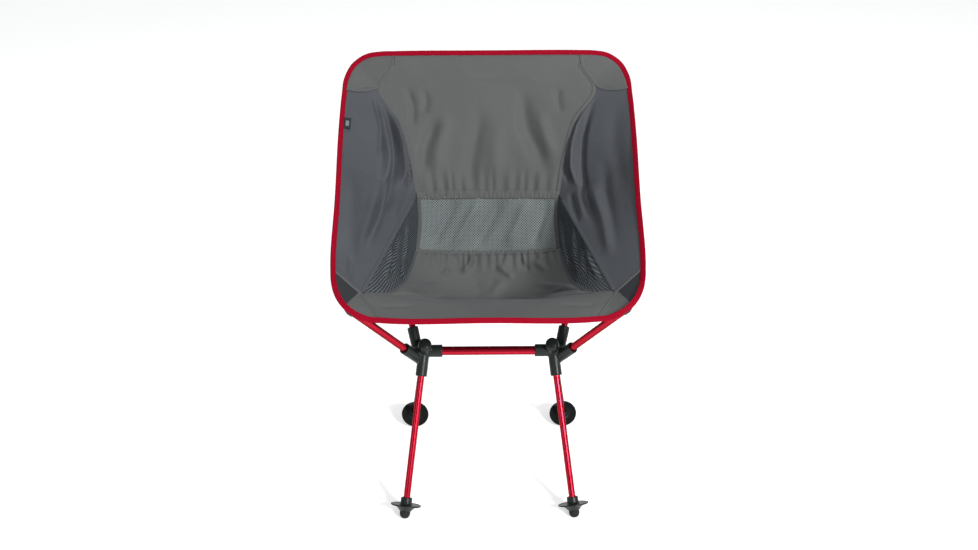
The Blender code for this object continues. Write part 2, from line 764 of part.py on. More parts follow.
def pocket_grid(axis, tube_r, first, last, shape):
    """The under layer of a corner pocket: it hangs from the rim round the outside of a pole cap."""
    start, end = np.array(axis[0]), np.array(axis[1])
    way = (end - start) / np.linalg.norm(end - start)
    room, bulge, rise, drop = shape
    rows, columns = POCKET_GRID
    cap_r = tube_r + GAP + CAP_WALL
    centre = end - way * cap_r
    reach = cap_r + room
    ring = full_ring(1)
    tangent, inward = inward_of(ring)
    normal = np.cross(tangent, inward)
    under = ring - normal * np.sign(normal[:, 2:3]) * (BINDING_THICK / 2 + GAP + CLOTH / 2)
    top = resampled(between(under[: len(rim_line())], first, last), columns)
    heading = math.atan2(way[1], way[0])
    turns = heading + np.radians(np.linspace(-POCKET_WRAP, POCKET_WRAP, columns))
    grid = np.zeros((rows, columns, 3))
    for j, turn in enumerate(turns):
        out = np.array((math.cos(turn), math.sin(turn), 0.0))
        middle = centre + out * (reach + bulge) + (0.0, 0.0, rise)
        bottom = centre + out * reach - (0.0, 0.0, drop)
        for i, t in enumerate(np.linspace(0, 1, rows)):
            grid[i, j] = top[j] * (1 - t) ** 2 + middle * 2 * t * (1 - t) + bottom * t**2
    return grid


def make_sling(cloth, mesh_cloth, binding, label):
    seat = strip_grid(SEAT_STATIONS, SEAT_GRID, RIM_SETBACK + FRONT_HEM_EASE, SEAM_SETBACK)
    sheet("seat_panel", seat, 1, cloth)
    band = strip_grid(MESH_STATIONS, LUMBAR_GRID, SEAM_SETBACK, SEAM_SETBACK)
    sheet("lumbar_mesh_panel", band, 1, mesh_cloth)
    back = strip_grid(BACK_STATIONS, BACK_GRID, SEAM_SETBACK, RIM_SETBACK + BACK_HEM_EASE)
    sheet("back_panel", back, 1, cloth)

    rim = rim_line()
    back_edge = smooth_line([s[2] for s in BACK_STATIONS], 400)
    seat_edge = smooth_line([s[2] for s in SEAT_STATIONS], 400)
    mesh_edge = smooth_line([s[2] for s in MESH_STATIONS], 100)
    seam = np.linspace(np.array(GUSSET_BACK), np.array(GUSSET_FRONT), 200)
    wing_inner = np.concatenate([between(back_edge, PATCH_CORNER, GUSSET_BACK), seam[1:]])
    inset = inset_rim(RIM_SETBACK)
    wing_outer = between(inset, WING_TOP, WING_FRONT)
    gusset_low = between(seat_edge, MESH_STATIONS[0][2], GUSSET_FRONT)
    gusset_inner = np.concatenate([mesh_edge[::-1], gusset_low[1:]])
    arc = between(back_edge, TOP_PATCH_END, PATCH_CORNER)
    top_inner = np.concatenate([arc, np.linspace(np.array(PATCH_CORNER), np.array(WING_TOP), 60)[1:]])
    top_inner = clear_of(top_inner, rim, PATCH_END_GAP)
    top_outer = between(inset, top_inner[0], top_inner[-1])
    front_run = between(seat_edge, GUSSET_FRONT, FRONT_PATCH_END)
    front_low = np.linspace(np.array(WING_FRONT), np.array(GUSSET_FRONT), 60)
    front_inner = np.concatenate([front_low, front_run[1:]])
    front_inner = clear_of(front_inner, rim, PATCH_END_GAP)
    front_outer = between(inset, front_inner[0], front_inner[-1])
    edge = SEAM_SETBACK
    for side, word in ((1, "right"), (-1, "left")):
        wing = loft_grid(wing_inner, wing_outer, WING_GRID, edge + WING_EASE, 0.0, WING_SPAN, WING_SAG)
        sheet("wing_panel_" + word, wing, side, cloth)
        gusset = loft_grid(gusset_inner, seam, GUSSET_GRID, edge + GUSSET_EASE, edge, GUSSET_SPAN, GUSSET_SAG)
        sheet("mesh_gusset_" + word, gusset, side, mesh_cloth)
        top = loft_grid(top_inner, top_outer, TOP_PATCH_GRID, edge + PATCH_EASE, 0.0, WHOLE_SPAN)
        sheet("top_corner_patch_" + word, top, side, cloth)
        hood = pocket_grid(BACK_AXIS, BACK_POLE_R, RIM[11], RIM[13], TOP_POCKET)
        sheet("top_corner_pocket_" + word, hood, side, cloth)
        hood = pocket_grid(SEAT_AXIS, SEAT_POLE_R, RIM[3], RIM[5], FRONT_POCKET)
        sheet("front_corner_pocket_" + word, hood, side, cloth)
        front = loft_grid(front_inner, front_outer, FRONT_PATCH_GRID, edge, 0.0, WHOLE_SPAN)
        sheet("front_corner_patch_" + word, front, side, cloth)
    make_binding(binding)
    tab = loft_grid(wing_outer, wing_inner, LABEL_GRID, 0.5, 0.0, LABEL_SPAN)
    tab = tab[:, :1] + (tab[:, -1:] - tab[:, :1]) * np.linspace(0, LABEL_REACH, LABEL_GRID[1])[None, :, None]
    sheet("side_label_tab", tab, -1, label, LABEL_THICK, CLOTH + 0.2)


def main():
    clear_scene()
    red = material("anodised_red", RED, 0.28, 1.0)
    plastic = material("black_plastic", DARK_PLASTIC, 0.55)
    rubber = material("black_rubber", RUBBER, 0.8)
    cloth = material("grey_ripstop", GREY_CLOTH, 0.85)
    mesh_cloth = material("grey_mesh", MESH_CLOTH, 0.85)
    binding = material("crimson_tape", BINDING_RED, 0.7)
    elastic = material("shock_cord", CORD_GREY, 0.7)
    alloy = material("bare_alloy", ALLOY, 0.35, 1.0)
    label = material("black_label", RUBBER, 0.7)

    make_crossbar(red)
    make_crossbar_cord(elastic)
    for side, word in ((1, "right"), (-1, "left")):
        make_hub(side, "hub_" + word, plastic)
        for end, place in ((-1, "front"), (1, "rear")):
            make_leg(side, end, place + "_" + word, red)
            make_foot(side, end, place + "_" + word, plastic, rubber)
        make_poles(side, word, red, plastic, alloy)
        make_cords(side, word, elastic)
    make_sling(cloth, mesh_cloth, binding, label)
    bpy.context.view_layer.update()


main()
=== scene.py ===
import json
import math

import bmesh
import bpy
import numpy as np
from mathutils import Matrix, Vector


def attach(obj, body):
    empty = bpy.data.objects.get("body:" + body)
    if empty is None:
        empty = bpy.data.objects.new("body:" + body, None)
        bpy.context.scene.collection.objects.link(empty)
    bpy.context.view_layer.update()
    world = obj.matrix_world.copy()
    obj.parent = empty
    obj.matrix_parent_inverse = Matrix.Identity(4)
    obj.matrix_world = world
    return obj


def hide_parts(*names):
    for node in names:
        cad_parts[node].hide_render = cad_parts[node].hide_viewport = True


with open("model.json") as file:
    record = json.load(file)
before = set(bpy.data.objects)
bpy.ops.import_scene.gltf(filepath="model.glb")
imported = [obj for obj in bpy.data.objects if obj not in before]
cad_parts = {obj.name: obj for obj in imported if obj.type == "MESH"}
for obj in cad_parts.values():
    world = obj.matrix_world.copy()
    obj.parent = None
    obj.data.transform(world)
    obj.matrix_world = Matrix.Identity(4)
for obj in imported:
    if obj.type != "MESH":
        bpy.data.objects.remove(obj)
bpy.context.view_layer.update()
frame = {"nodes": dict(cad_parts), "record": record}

MM = 0.001
SHIFT_Y = -91.5

# The sling's own lines, in millimetres from the hubs' middle: x right, y back, z up.
BUCKET_POINT = (0.0, 90.0, 420.0)
BINDING_AIM = (0.0, 90.0, 330.0)
LIP_AIM = (0.0, -40.0, 500.0)
BINDING_WIDTH = 9.0
BINDING_THICK = 3.0
RIM = [
    (0.0, -118.0, 361.6),
    (164.0, -117.5, 362.5),
    (184.0, -117.0, 364.3),
    (204.0, -115.0, 372.5),
    (221.0, -107.0, 383.0),
    (235.0, -88.0, 396.0),
    (241.0, -68.0, 406.0),
    (244.0, -45.0, 415.5),
    (247.0, 73.0, 484.0),
    (251.5, 220.0, 569.0),
    (251.0, 268.0, 598.5),
    (247.9, 298.0, 622.0),
    (235.1, 320.0, 640.3),
    (215.8, 328.0, 651.6),
    (187.3, 331.0, 655.9),
    (166.0, 331.0, 656.4),
    (0.0, 331.0, 656.8),
]
FRONT_PATCH_END = (166.0, -117.5, 362.6)
GUSSET_FRONT = (198.0, -66.0, 381.0)
WING_FRONT = (244.0, -45.0, 415.5)
GUSSET_BACK = (126.5, 208.0, 432.5)
WING_TOP = (249.9, 279.0, 607.0)
PATCH_CORNER = (192.0, 299.5, 605.0)
TOP_PATCH_END = (166.0, 331.0, 656.4)
HEM_SAG = 0.016
BEND_POWER = 2.2
WING_SAG = 3.0
GUSSET_SAG = 1.5
SAG_WAY = (0.35, 0.45, -0.82)

# Cloth: thicknesses and reaches in millimetres.
CLOTH_THICK = 0.7
BAND_THICK = 0.5
TRIM_THICK = 0.9
BAND_ROWS = 7
WIDE_BAND = 10.5
FOLD_DEPTH = 2.2
FINE_WAVES = 0.16
# Row shares at the front patch's inner and far edges where its painted shade ends.
FRONT_PATCH_SHADE_SHARE = 0.44
FRONT_PATCH_FAR_SHADE_SHARE = 0.56
LABEL_SPAN = (0.169, 0.228)
LABEL_REACH = (3.8, 15.8)

SIDES = ((1, "right"), (-1, "left"))
SEAT_STATIONS = [
    (-118.0, 361.6, (166.0, -117.5, 362.6)),
    (-85.0, 363.0, (182.0, -92.0, 372.5)),
    (-50.0, 361.0, GUSSET_FRONT),
    (-15.0, 343.0, (165.0, -35.0, 367.0)),
    (20.0, 312.0, (148.5, 12.0, 354.6)),
    (58.0, 288.0, (141.0, 52.0, 343.5)),
    (97.0, 281.0, (137.3, 90.0, 340.5)),
    (137.0, 298.0, (132.2, 122.0, 344.0)),
    (176.0, 337.0, (128.1, 155.0, 352.5)),
]
MESH_STATIONS = [
    (176.0, 337.0, (128.1, 155.0, 352.5)),
    (196.0, 386.6, (124.2, 186.0, 393.0)),
    (215.0, 431.0, GUSSET_BACK),
]
BACK_STATIONS = [
    (215.0, 431.0, GUSSET_BACK),
    (240.0, 480.0, (135.5, 232.0, 484.0)),
    (276.0, 549.5, (157.0, 268.0, 552.0)),
    (305.0, 606.0, PATCH_CORNER),
    (313.0, 621.5, (179.5, 310.5, 622.5)),
    (321.0, 637.0, (168.5, 319.4, 637.0)),
    (331.0, 656.8, TOP_PATCH_END),
]


def smooth_line(points, count):
    """Evenly spaced points on a smooth curve through the given ones."""
    knots = np.array(points, float)
    chord = np.diff(knots, axis=0)
    step = np.linalg.norm(chord, axis=1)
    chord = chord / step[:, None]
    at = np.concatenate([[0.0], np.cumsum(step)])
    slope = np.zeros_like(knots)
    slope[1:-1] = (chord[:-1] * step[1:, None] + chord[1:] * step[:-1, None]) / (step[1:] + step[:-1])[:, None]
    slope[0], slope[-1] = chord[0], chord[-1]
    where = np.linspace(0, at[-1], 1500)
    k = np.clip(np.searchsorted(at, where) - 1, 0, len(step) - 1)
    t = ((where - at[k]) / step[k])[:, None]
    length = step[k][:, None]
    fine = (1 + 2 * t) * (1 - t) ** 2 * knots[k] + t * (1 - t) ** 2 * length * slope[k]
    fine += t * t * (3 - 2 * t) * knots[k + 1] + t * t * (t - 1) * length * slope[k + 1]
    return resampled(fine, count)


def runs(line):
    """Distance along a line up to each of its points."""
    return np.concatenate([[0.0], np.cumsum(np.linalg.norm(np.diff(line, axis=0), axis=1))])


def point_at(line, index):
    """The point of a line at an index, which may lie between two of its points."""
    return np.array([np.interp(index, np.arange(len(line)), line[:, k]) for k in range(3)])


def at_runs(line, where):
    run = runs(line)
    return np.stack([np.interp(where, run, line[:, k]) for k in range(3)], axis=1)


def resampled(line, count):
    return at_runs(line, np.linspace(0, runs(line)[-1], count))


def nearest(line, place):
    return int(np.argmin(np.linalg.norm(line - np.array(place), axis=1)))


def between(line, start, end):
    """The stretch of a dense line between the points nearest to start and end."""
    first, last = nearest(line, start), nearest(line, end)
    if first <= last:
        return line[first : last + 1]
    return line[last : first + 1][::-1]


def strip_grid(stations, rows, columns):
    """A grid across the chair's middle: each row runs from the left edge through the middle."""
    middle = smooth_line([(0.0, s[0], s[1]) for s in stations], 800)
    edge = smooth_line([s[2] for s in stations], 800)
    marks_middle = [nearest(middle, (0.0, s[0], s[1])) for s in stations]
    marks_edge = [nearest(edge, s[2]) for s in stations]
    grid = np.zeros((rows, columns, 3))
    for i, where in enumerate(np.linspace(0, 799, rows)):
        centre = point_at(middle, where)
        on_edge = np.interp(where, marks_middle, marks_edge)
        side = point_at(edge, on_edge)
        a = np.linspace(-1, 1, columns)
        bend = np.abs(a) ** BEND_POWER
        grid[i, :, 0] = a * side[0]
        grid[i, :, 1] = centre[1] + (side[1] - centre[1]) * bend
        grid[i, :, 2] = centre[2] + (side[2] - centre[2]) * bend
    return grid


def loft_grid(inner, outer, rows, columns, sag):
    """A grid between two dense lines: row 0 is at their starts, column 0 on the inner line."""
    first, second = resampled(inner, rows), resampled(outer, rows)
    s = np.linspace(0, 1, columns)[None, :, None]
    grid = first[:, None] * (1 - s) + second[:, None] * s
    dip = sag * np.sin(np.pi * np.linspace(0, 1, rows))[:, None, None] * 4 * s * (1 - s)
    return grid + dip * np.array(SAG_WAY)


def toward_bucket(grid):
    """Unit normals of a grid, pointing into the bucket."""
    along = np.gradient(grid, axis=0)
    across = np.gradient(grid, axis=1)
    normal = np.cross(along, across)
    normal /= np.linalg.norm(normal, axis=2)[:, :, None] + 1e-12
    if np.sum(normal * (np.array(BUCKET_POINT) - grid)) < 0:
        normal = -normal
    return normal


def sling_lines():
    """The seams and edges that the panels of the right half share."""
    lines = {}
    rim = smooth_line(RIM, 1201)
    seat_edge = smooth_line([s[2] for s in SEAT_STATIONS], 800)
    back_edge = smooth_line([s[2] for s in BACK_STATIONS], 800)
    mesh_edge = smooth_line([s[2] for s in MESH_STATIONS], 400)
    seam = np.linspace(np.array(GUSSET_BACK), np.array(GUSSET_FRONT), 400)
    lines["rim"] = rim
    lines["wing_inner"] = np.concatenate([between(back_edge, PATCH_CORNER, GUSSET_BACK), seam[1:]])
    lines["wing_outer"] = between(rim, WING_TOP, WING_FRONT)
    low = between(seat_edge, MESH_STATIONS[0][2], GUSSET_FRONT)
    lines["gusset_inner"] = np.concatenate([mesh_edge[::-1], low[1:]])
    lines["gusset_outer"] = seam
    arc = between(back_edge, TOP_PATCH_END, PATCH_CORNER)
    wing = loft_grid(lines["wing_inner"], lines["wing_outer"], 400, 60, WING_SAG)
    across = np.arange(60)
    down = (np.sin(np.pi * across / 59) ** 0.8 * HEM_SAG * 399).round().astype(int)
    lines["top_inner"] = np.concatenate([arc, wing[down, across][1:]])
    lines["top_outer"] = between(rim, TOP_PATCH_END, WING_TOP)
    low = np.linspace(np.array(WING_FRONT), np.array(GUSSET_FRONT), 200)
    lines["front_inner"] = np.concatenate([low, between(seat_edge, GUSSET_FRONT, FRONT_PATCH_END)[1:]])
    lines["front_outer"] = between(rim, WING_FRONT, FRONT_PATCH_END)
    return lines


def to_frame(points):
    """Millimetres from the hubs' middle, turned into the frame's metres."""
    return (np.asarray(points, float) + (0.0, SHIFT_Y, 0.0)) * MM


# ---------------------------------------------------------------- materials


class Nodes:
    """A short way to lay out one material's nodes."""

    def __init__(self, name):
        self.material = bpy.data.materials.new(name)
        self.material.use_nodes = True
        self.tree = self.material.node_tree
        self.shader = self.tree.nodes["Principled BSDF"]

    def add(self, kind, inputs=(), **settings):
        node = self.tree.nodes.new(kind)
        for key, value in settings.items():
            setattr(node, key, value)
        for key, value in dict(inputs).items():
            if isinstance(value, bpy.types.NodeSocket):
                self.tree.links.new(value, node.inputs[key])
            else:
                node.inputs[key].default_value = value
        return node

    def math(self, operation, a, b=0.0):
        return self.add("ShaderNodeMath", {0: a, 1: b}, operation=operation).outputs[0]

    def times(self, a, b):
        return self.math("MULTIPLY", a, b)

    def plus(self, a, b):
        return self.math("ADD", a, b)

    def mix(self, factor, a, b):
        node = self.add("ShaderNodeMix", {0: factor}, data_type="RGBA")
        for index, value in ((6, a), (7, b)):
            if isinstance(value, bpy.types.NodeSocket):
                self.tree.links.new(value, node.inputs[index])
            else:
                node.inputs[index].default_value = (*value, 1.0)
        return node.outputs[2]

    def noise(self, vector, scale, detail=2.0, rough=0.5):
        return self.add("ShaderNodeTexNoise", {"Vector": vector, "Scale": scale, "Detail": detail,
                                               "Roughness": rough}).outputs["Fac"]

    def ramp(self, value, low, high):
        node = self.add("ShaderNodeMapRange", {0: value, 1: low, 2: high})
        node.interpolation_type = "SMOOTHSTEP"
        return node.outputs[0]

    def place(self, scale=(1, 1, 1), turn=0.0, uv=True):
        """Cloth coordinates in metres, or the object's own."""
        if uv:
            source = self.add("ShaderNodeUVMap", uv_map="cloth").outputs[0]
        else:
            source = self.add("ShaderNodeTexCoord").outputs["Object"]
        inputs = {"Vector": source, "Scale": scale, "Rotation": (0, 0, turn)}
        return self.add("ShaderNodeMapping", inputs).outputs[0]

    def bump(self, height, strength, distance):
        node = self.add("ShaderNodeBump", {"Height": height, "Strength": strength, "Distance": distance})
        self.tree.links.new(node.outputs[0], self.shader.inputs["Normal"])

    def set(self, **values):
        for key, value in values.items():
            socket = self.shader.inputs[key.replace("_", " ")]
            if isinstance(value, bpy.types.NodeSocket):
                self.tree.links.new(value, socket)
            elif isinstance(value, tuple) and len(value) == 3 and socket.type == "RGBA":
                socket.default_value = (*value, 1.0)
            else:
                socket.default_value = value


def lines_across(nodes, vector, pitch, width, axis):
    """1 on thin lines of the given width every pitch metres, 0 between them."""
    parts = nodes.add("ShaderNodeSeparateXYZ", {0: vector})
    share = nodes.math("FRACT", nodes.math("DIVIDE", parts.outputs[axis], pitch))
    away = nodes.math("ABSOLUTE", nodes.math("SUBTRACT", share, 0.5))
    edge = width / pitch / 2
    return nodes.math("SUBTRACT", 1.0, nodes.ramp(away, edge * 0.5, edge * 1.5))


def ripstop(name, colour, shade):
    """Plain-weave nylon with a raised thread every few millimetres both ways."""
    n = Nodes(name)
    cloth = n.place()
    across = lines_across(n, cloth, 0.0042, 0.0008, 0)
    along = lines_across(n, cloth, 0.0042, 0.0008, 1)
    grid = n.math("MAXIMUM", across, along)
    fine_a = lines_across(n, cloth, 0.0007, 0.00035, 0)
    fine_b = lines_across(n, cloth, 0.0007, 0.00035, 1)
    weave = n.times(fine_a, fine_b)
    patches = n.noise(cloth, 9.0, 3.0)
    slub = n.noise(n.place((40, 900, 1)), 1.0, 2.0)
    base = n.mix(n.ramp(patches, 0.3, 0.7), tuple(c * 0.94 for c in colour), tuple(c * 1.05 for c in colour))
    base = n.mix(n.times(slub, 0.22), base, shade)
    base = n.mix(n.times(grid, 0.42), base, shade)
    height = n.plus(n.times(grid, 0.8), n.times(weave, 0.25))
    height = n.plus(height, n.times(n.noise(cloth, 160.0, 3.0), 0.5))
    n.bump(height, 0.35, 0.0003)
    n.set(Base_Color=base, Roughness=n.plus(0.62, n.times(patches, 0.12)))
    n.set(Sheen_Weight=0.06, Sheen_Roughness=0.45, Sheen_Tint=(0.8, 0.85, 0.95), Specular_IOR_Level=0.3)
    return n.material


def open_mesh(name, colour, shade, pitch, turn, hole):
    """Knitted mesh whose holes are filled with painted shade and let a fifth of the light through."""
    n = Nodes(name)
    cloth = n.place((1 / pitch, 1 / pitch, 1), turn)
    cells = n.add("ShaderNodeTexVoronoi", {"Vector": cloth, "Scale": 1.0, "Randomness": 0.0},
                  voronoi_dimensions="2D")
    away = cells.outputs["Distance"]
    solid = n.ramp(away, hole - 0.05, hole + 0.05)
    strands = n.noise(n.place((1400, 1400, 1)), 1.0, 2.0)
    tone = n.noise(n.place(), 14.0, 3.0)
    base = n.mix(strands, colour, shade)
    base = n.mix(n.times(tone, 0.35), base, shade)
    n.bump(n.plus(away, n.times(strands, 0.3)), 0.5, 0.0004)
    # Painted shade: the holes are coloured near black, standing in for the shade behind the mesh.
    hole_shade = tuple(c * 0.12 for c in shade)
    base = n.mix(n.ramp(away, hole - 0.02, hole + 0.16), hole_shade, base)
    cover = n.plus(0.80, n.times(solid, 0.20))
    n.set(Base_Color=base, Alpha=cover, Roughness=n.plus(0.6, n.times(strands, 0.2)))
    n.set(Sheen_Weight=0.08, Specular_IOR_Level=0.3)
    n.material.surface_render_method = "DITHERED"
    return n.material


def tape(name, colour, shade, pitch, uv=True, specular=0.2):
    """Woven tape with fine ribs across it."""
    n = Nodes(name)
    cloth = n.place(uv=uv)
    ribs = lines_across(n, cloth, pitch, pitch * 0.5, 0)
    warp = lines_across(n, cloth, pitch * 1.6, pitch * 0.7, 1)
    tone = n.noise(cloth, 30.0, 3.0)
    weave = n.times(ribs, warp)
    base = n.mix(n.times(n.plus(weave, tone), 0.35), colour, shade)
    n.bump(n.plus(weave, n.times(n.noise(cloth, 500.0), 0.4)), 0.4, 0.0003)
    n.set(Base_Color=base, Roughness=n.plus(0.62, n.times(tone, 0.16)))
    n.set(Sheen_Roughness=0.4, Specular_IOR_Level=specular)
    return n.material


def row_mesh(name, light, gap_shade, pitch):
    """Side mesh knitted in level rows, with painted shade in the gaps between the rows and a line of small
    part-clear holes between them.
    """
    n = Nodes(name)
    own = n.place(uv=False)
    row = lines_across(n, own, pitch, pitch * 0.40, 2)
    cloth = n.place()
    gap = n.math("SUBTRACT", 1.0, row)
    beads = lines_across(n, cloth, pitch * 0.7, pitch * 0.30, 0)
    hole = n.times(n.times(gap, beads), 0.22)
    tone = n.noise(cloth, 60.0, 3.0)
    # Painted shade: the gaps between the rows take the near-black shade colour, which the random tone also
    # leans towards.
    base = n.mix(n.times(row, n.math("SUBTRACT", 1.0, n.times(beads, 0.45))), gap_shade, light)
    base = n.mix(n.times(tone, 0.5), base, gap_shade)
    n.bump(row, 0.5, 0.0004)
    n.set(Base_Color=base, Alpha=n.math("SUBTRACT", 1.0, hole), Roughness=n.plus(0.6, n.times(tone, 0.15)))
    n.set(Specular_IOR_Level=0.3)
    n.material.surface_render_method = "DITHERED"
    return n.material


def anodised(name, colour, shade, edge):
    """Drawn aluminium tube with a dyed anodised skin; its edge colour tints the grazing reflections as painted
    shade.
    """
    n = Nodes(name)
    own = n.place(uv=False)
    grain = n.noise(n.place((900, 900, 60), uv=False), 1.0, 3.0)
    tone = n.noise(own, 22.0, 3.0)
    wear = n.ramp(n.noise(own, 210.0, 4.0, 0.6), 0.66, 0.74)
    base = n.mix(n.times(tone, 0.5), colour, shade)
    base = n.mix(n.times(wear, 0.20), base, tuple(min(1.0, c * 1.8 + 0.05) for c in colour))
    n.bump(grain, 0.06, 0.0001)
    rough = n.plus(0.20, n.times(grain, 0.10))
    n.set(Base_Color=base, Roughness=n.plus(rough, n.times(tone, 0.06)))
    # Specular tint from the edge colour: painted shade on the grazing reflection, standing in for dark
    # surroundings.
    n.set(Metallic=1.0, Specular_Tint=edge, Coat_Weight=0.2, Coat_Roughness=0.22)
    return n.material


def moulded(name, colour, shade, rough, coarse=1100.0, depth=0.0002):
    """Moulded plastic or rubber with a fine spark-eroded grain and scuffed places."""
    n = Nodes(name)
    own = n.place(uv=False)
    grain = n.noise(own, coarse, 2.0)
    tone = n.noise(own, 45.0, 3.0)
    scuff = n.ramp(n.noise(own, 130.0, 4.0, 0.65), 0.62, 0.78)
    base = n.mix(tone, colour, shade)
    base = n.mix(n.times(scuff, 0.35), base, tuple(c * 1.9 + 0.015 for c in colour))
    n.bump(n.plus(grain, n.times(tone, 0.3)), 0.35, depth)
    n.set(Base_Color=base, Roughness=n.plus(rough - 0.08, n.times(tone, 0.16)))
    n.set(Specular_IOR_Level=0.27)
    return n.material


def braided(name, colour, shade):
    """Braided sleeve of an elastic cord."""
    n = Nodes(name)
    own = n.place(uv=False)
    wave = n.add("ShaderNodeTexWave", {"Vector": own, "Scale": 520.0, "Distortion": 2.0, "Detail": 1.0})
    base = n.mix(wave.outputs["Fac"], colour, shade)
    n.bump(wave.outputs["Fac"], 0.5, 0.0003)
    n.set(Base_Color=base, Roughness=0.7)
    return n.material


# ---------------------------------------------------------------- cloth


def ease(value):
    value = np.clip(value, 0.0, 1.0)
    return value * value * (3 - 2 * value)


def place_on(grid, t, s):
    """The point of a grid at row share t and column share s."""
    rows, columns = grid.shape[:2]
    i, j = t * (rows - 1), s * (columns - 1)
    a, b = min(int(i), rows - 2), min(int(j), columns - 2)
    u, v = i - a, j - b
    top = grid[a, b] * (1 - v) + grid[a, b + 1] * v
    low = grid[a + 1, b] * (1 - v) + grid[a + 1, b + 1] * v
    return top * (1 - u) + low * u


def edge_room(grid, reach):
    """0 on the grid's edges, 1 from reach millimetres inwards."""
    rows, columns = grid.shape[:2]
    best = np.full((rows, columns), 1e9)
    rims = (grid[0], grid[-1], grid[:, 0], grid[:, -1])
    for rim in rims:
        for start in range(0, len(rim), 3):
            best = np.minimum(best, np.linalg.norm(grid - rim[start], axis=2))
    return ease((best - 1.0) / reach)


def fold_heights(grid, folds):
    """Height of each fold over the grid: (points as row and column shares, width, height)."""
    total = np.zeros(grid.shape[:2])
    for points, width, height in folds:
        line = np.array([place_on(grid, t, s) for t, s in points])
        if len(line) > 2:
            line = smooth_line(line, 12)
        run = runs(line)
        away = np.full(grid.shape[:2], 1e9)
        share = np.zeros(grid.shape[:2])
        for k in range(len(line) - 1):
            span = line[k + 1] - line[k]
            length = np.linalg.norm(span)
            t = np.clip(np.sum((grid - line[k]) * span, axis=2) / length**2, 0, 1)
            d = np.linalg.norm(grid - line[k] - t[:, :, None] * span, axis=2)
            closer = d < away
            away = np.where(closer, d, away)
            share = np.where(closer, (run[k] + t * length) / run[-1], share)
        taper = ease(share / 0.3) * ease((1 - share) / 0.3)
        total += height * np.exp(-((away / width) ** 2)) * taper
    return total


def soft_waves(grid, seed, count, shortest, longest, height):
    """Low uneven waves, the same each run."""
    dice = np.random.default_rng(seed)
    total = np.zeros(grid.shape[:2])
    for _ in range(count):
        way = dice.normal(size=3)
        way /= np.linalg.norm(way)
        length = dice.uniform(shortest, longest)
        total += np.sin(grid @ way * 2 * np.pi / length + dice.uniform(0, 6.28))
    return total * height / math.sqrt(count)


def gathers(along, seed, pitch):
    """An uneven row of puckers along a seam, between -1 and 1."""
    dice = np.random.default_rng(seed)
    phase = np.cumsum(dice.uniform(0.55, 1.45, size=400)) * pitch
    count = np.interp(along - along.min(), phase, np.arange(400))
    size = np.interp(along - along.min(), phase, dice.uniform(0.35, 1.0, size=400))
    return np.cos(count * 2 * np.pi) * size


def cloth_coordinates(grid):
    """Distance across and along the cloth at each point, in metres."""
    across = np.zeros(grid.shape[:2])
    along = np.zeros(grid.shape[:2])
    across[:, 1:] = np.cumsum(np.linalg.norm(np.diff(grid, axis=1), axis=2), axis=1)
    along[1:] = np.cumsum(np.linalg.norm(np.diff(grid, axis=0), axis=2), axis=0)
    across -= across[:, across.shape[1] // 2][:, None]
    return across * MM, along * MM


def ring_quads(rings, sides, closed):
    """Faces between one ring of points and the next, for rings laid end to end."""
    faces = []
    for i in range(rings if closed else rings - 1):
        n = (i + 1) % rings
        for c in range(sides):
            m = (c + 1) % sides
            faces.append((i * sides + c, i * sides + m, n * sides + m, n * sides + c))
    return faces


def face_outwards(mesh):
    """Turns every face of closed shells outwards."""
    shell = bmesh.new()
    shell.from_mesh(mesh)
    bmesh.ops.recalc_face_normals(shell, faces=shell.faces)
    if shell.calc_volume(signed=True) < 0:
        bmesh.ops.reverse_faces(shell, faces=shell.faces)
    shell.to_mesh(mesh)
    shell.free()


def link(name, verts, faces, finish, smooth=True):
    mesh = bpy.data.meshes.new(name)
    mesh.from_pydata([tuple(v) for v in verts], [], faces)
    mesh.materials.append(finish)
    obj = bpy.data.objects.new(name, mesh)
    bpy.context.scene.collection.objects.link(obj)
    if smooth:
        mesh.shade_smooth()
    return obj


def cloth_mesh(name, grid, normal, thickness, finish, coordinates=None):
    """A thin closed sheet on a grid, in frame metres, with its cloth coordinates as UVs."""
    rows, columns = grid.shape[:2]
    size = rows * columns
    half = normal * thickness / 2
    verts = to_frame(np.concatenate([grid + half, grid - half]).reshape(-1, 3))
    i, j = np.meshgrid(np.arange(rows - 1), np.arange(columns - 1), indexing="ij")
    a = (i * columns + j).reshape(-1)
    quads = np.stack([a, a + 1, a + columns + 1, a + columns], axis=1)
    sample = verts[quads[0]]
    facing = np.dot(np.cross(sample[1] - sample[0], sample[2] - sample[0]), normal[0, 0])
    upper = quads if facing > 0 else quads[:, ::-1]
    lower = upper[:, ::-1] + size
    edge = list(range(columns)) + [i * columns + columns - 1 for i in range(1, rows)]
    edge += [(rows - 1) * columns + j for j in range(columns - 2, -1, -1)]
    edge += [i * columns for i in range(rows - 2, 0, -1)]
    edge = np.array(edge)
    after = np.roll(edge, -1)
    side = np.stack([edge, after, after + size, edge + size], axis=1)
    if facing > 0:
        side = side[:, ::-1]
    faces = np.concatenate([upper, lower, side]).tolist()
    obj = link(name, verts, faces, finish)
    u, v = cloth_coordinates(grid) if coordinates is None else coordinates
    flat = np.stack([u.reshape(-1), v.reshape(-1)], axis=1)
    flat = np.concatenate([flat, flat])
    layer = obj.data.uv_layers.new(name="cloth")
    loops = np.zeros(len(obj.data.loops), dtype=np.int32)
    obj.data.loops.foreach_get("vertex_index", loops)
    layer.data.foreach_set("uv", flat[loops].reshape(-1).astype(np.float32))
    return obj


def sewn_on(obj, node=None):
    """Fixes a piece to the sling, in place of its CAD solid where it has one."""
    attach(obj, "sling")
    if node:
        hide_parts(node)


def grid_area(grid):
    across = np.diff(grid, axis=1)[:-1]
    along = np.diff(grid, axis=0)[:, :-1]
    return float(np.linalg.norm(np.cross(across, along), axis=2).sum()) * MM * MM


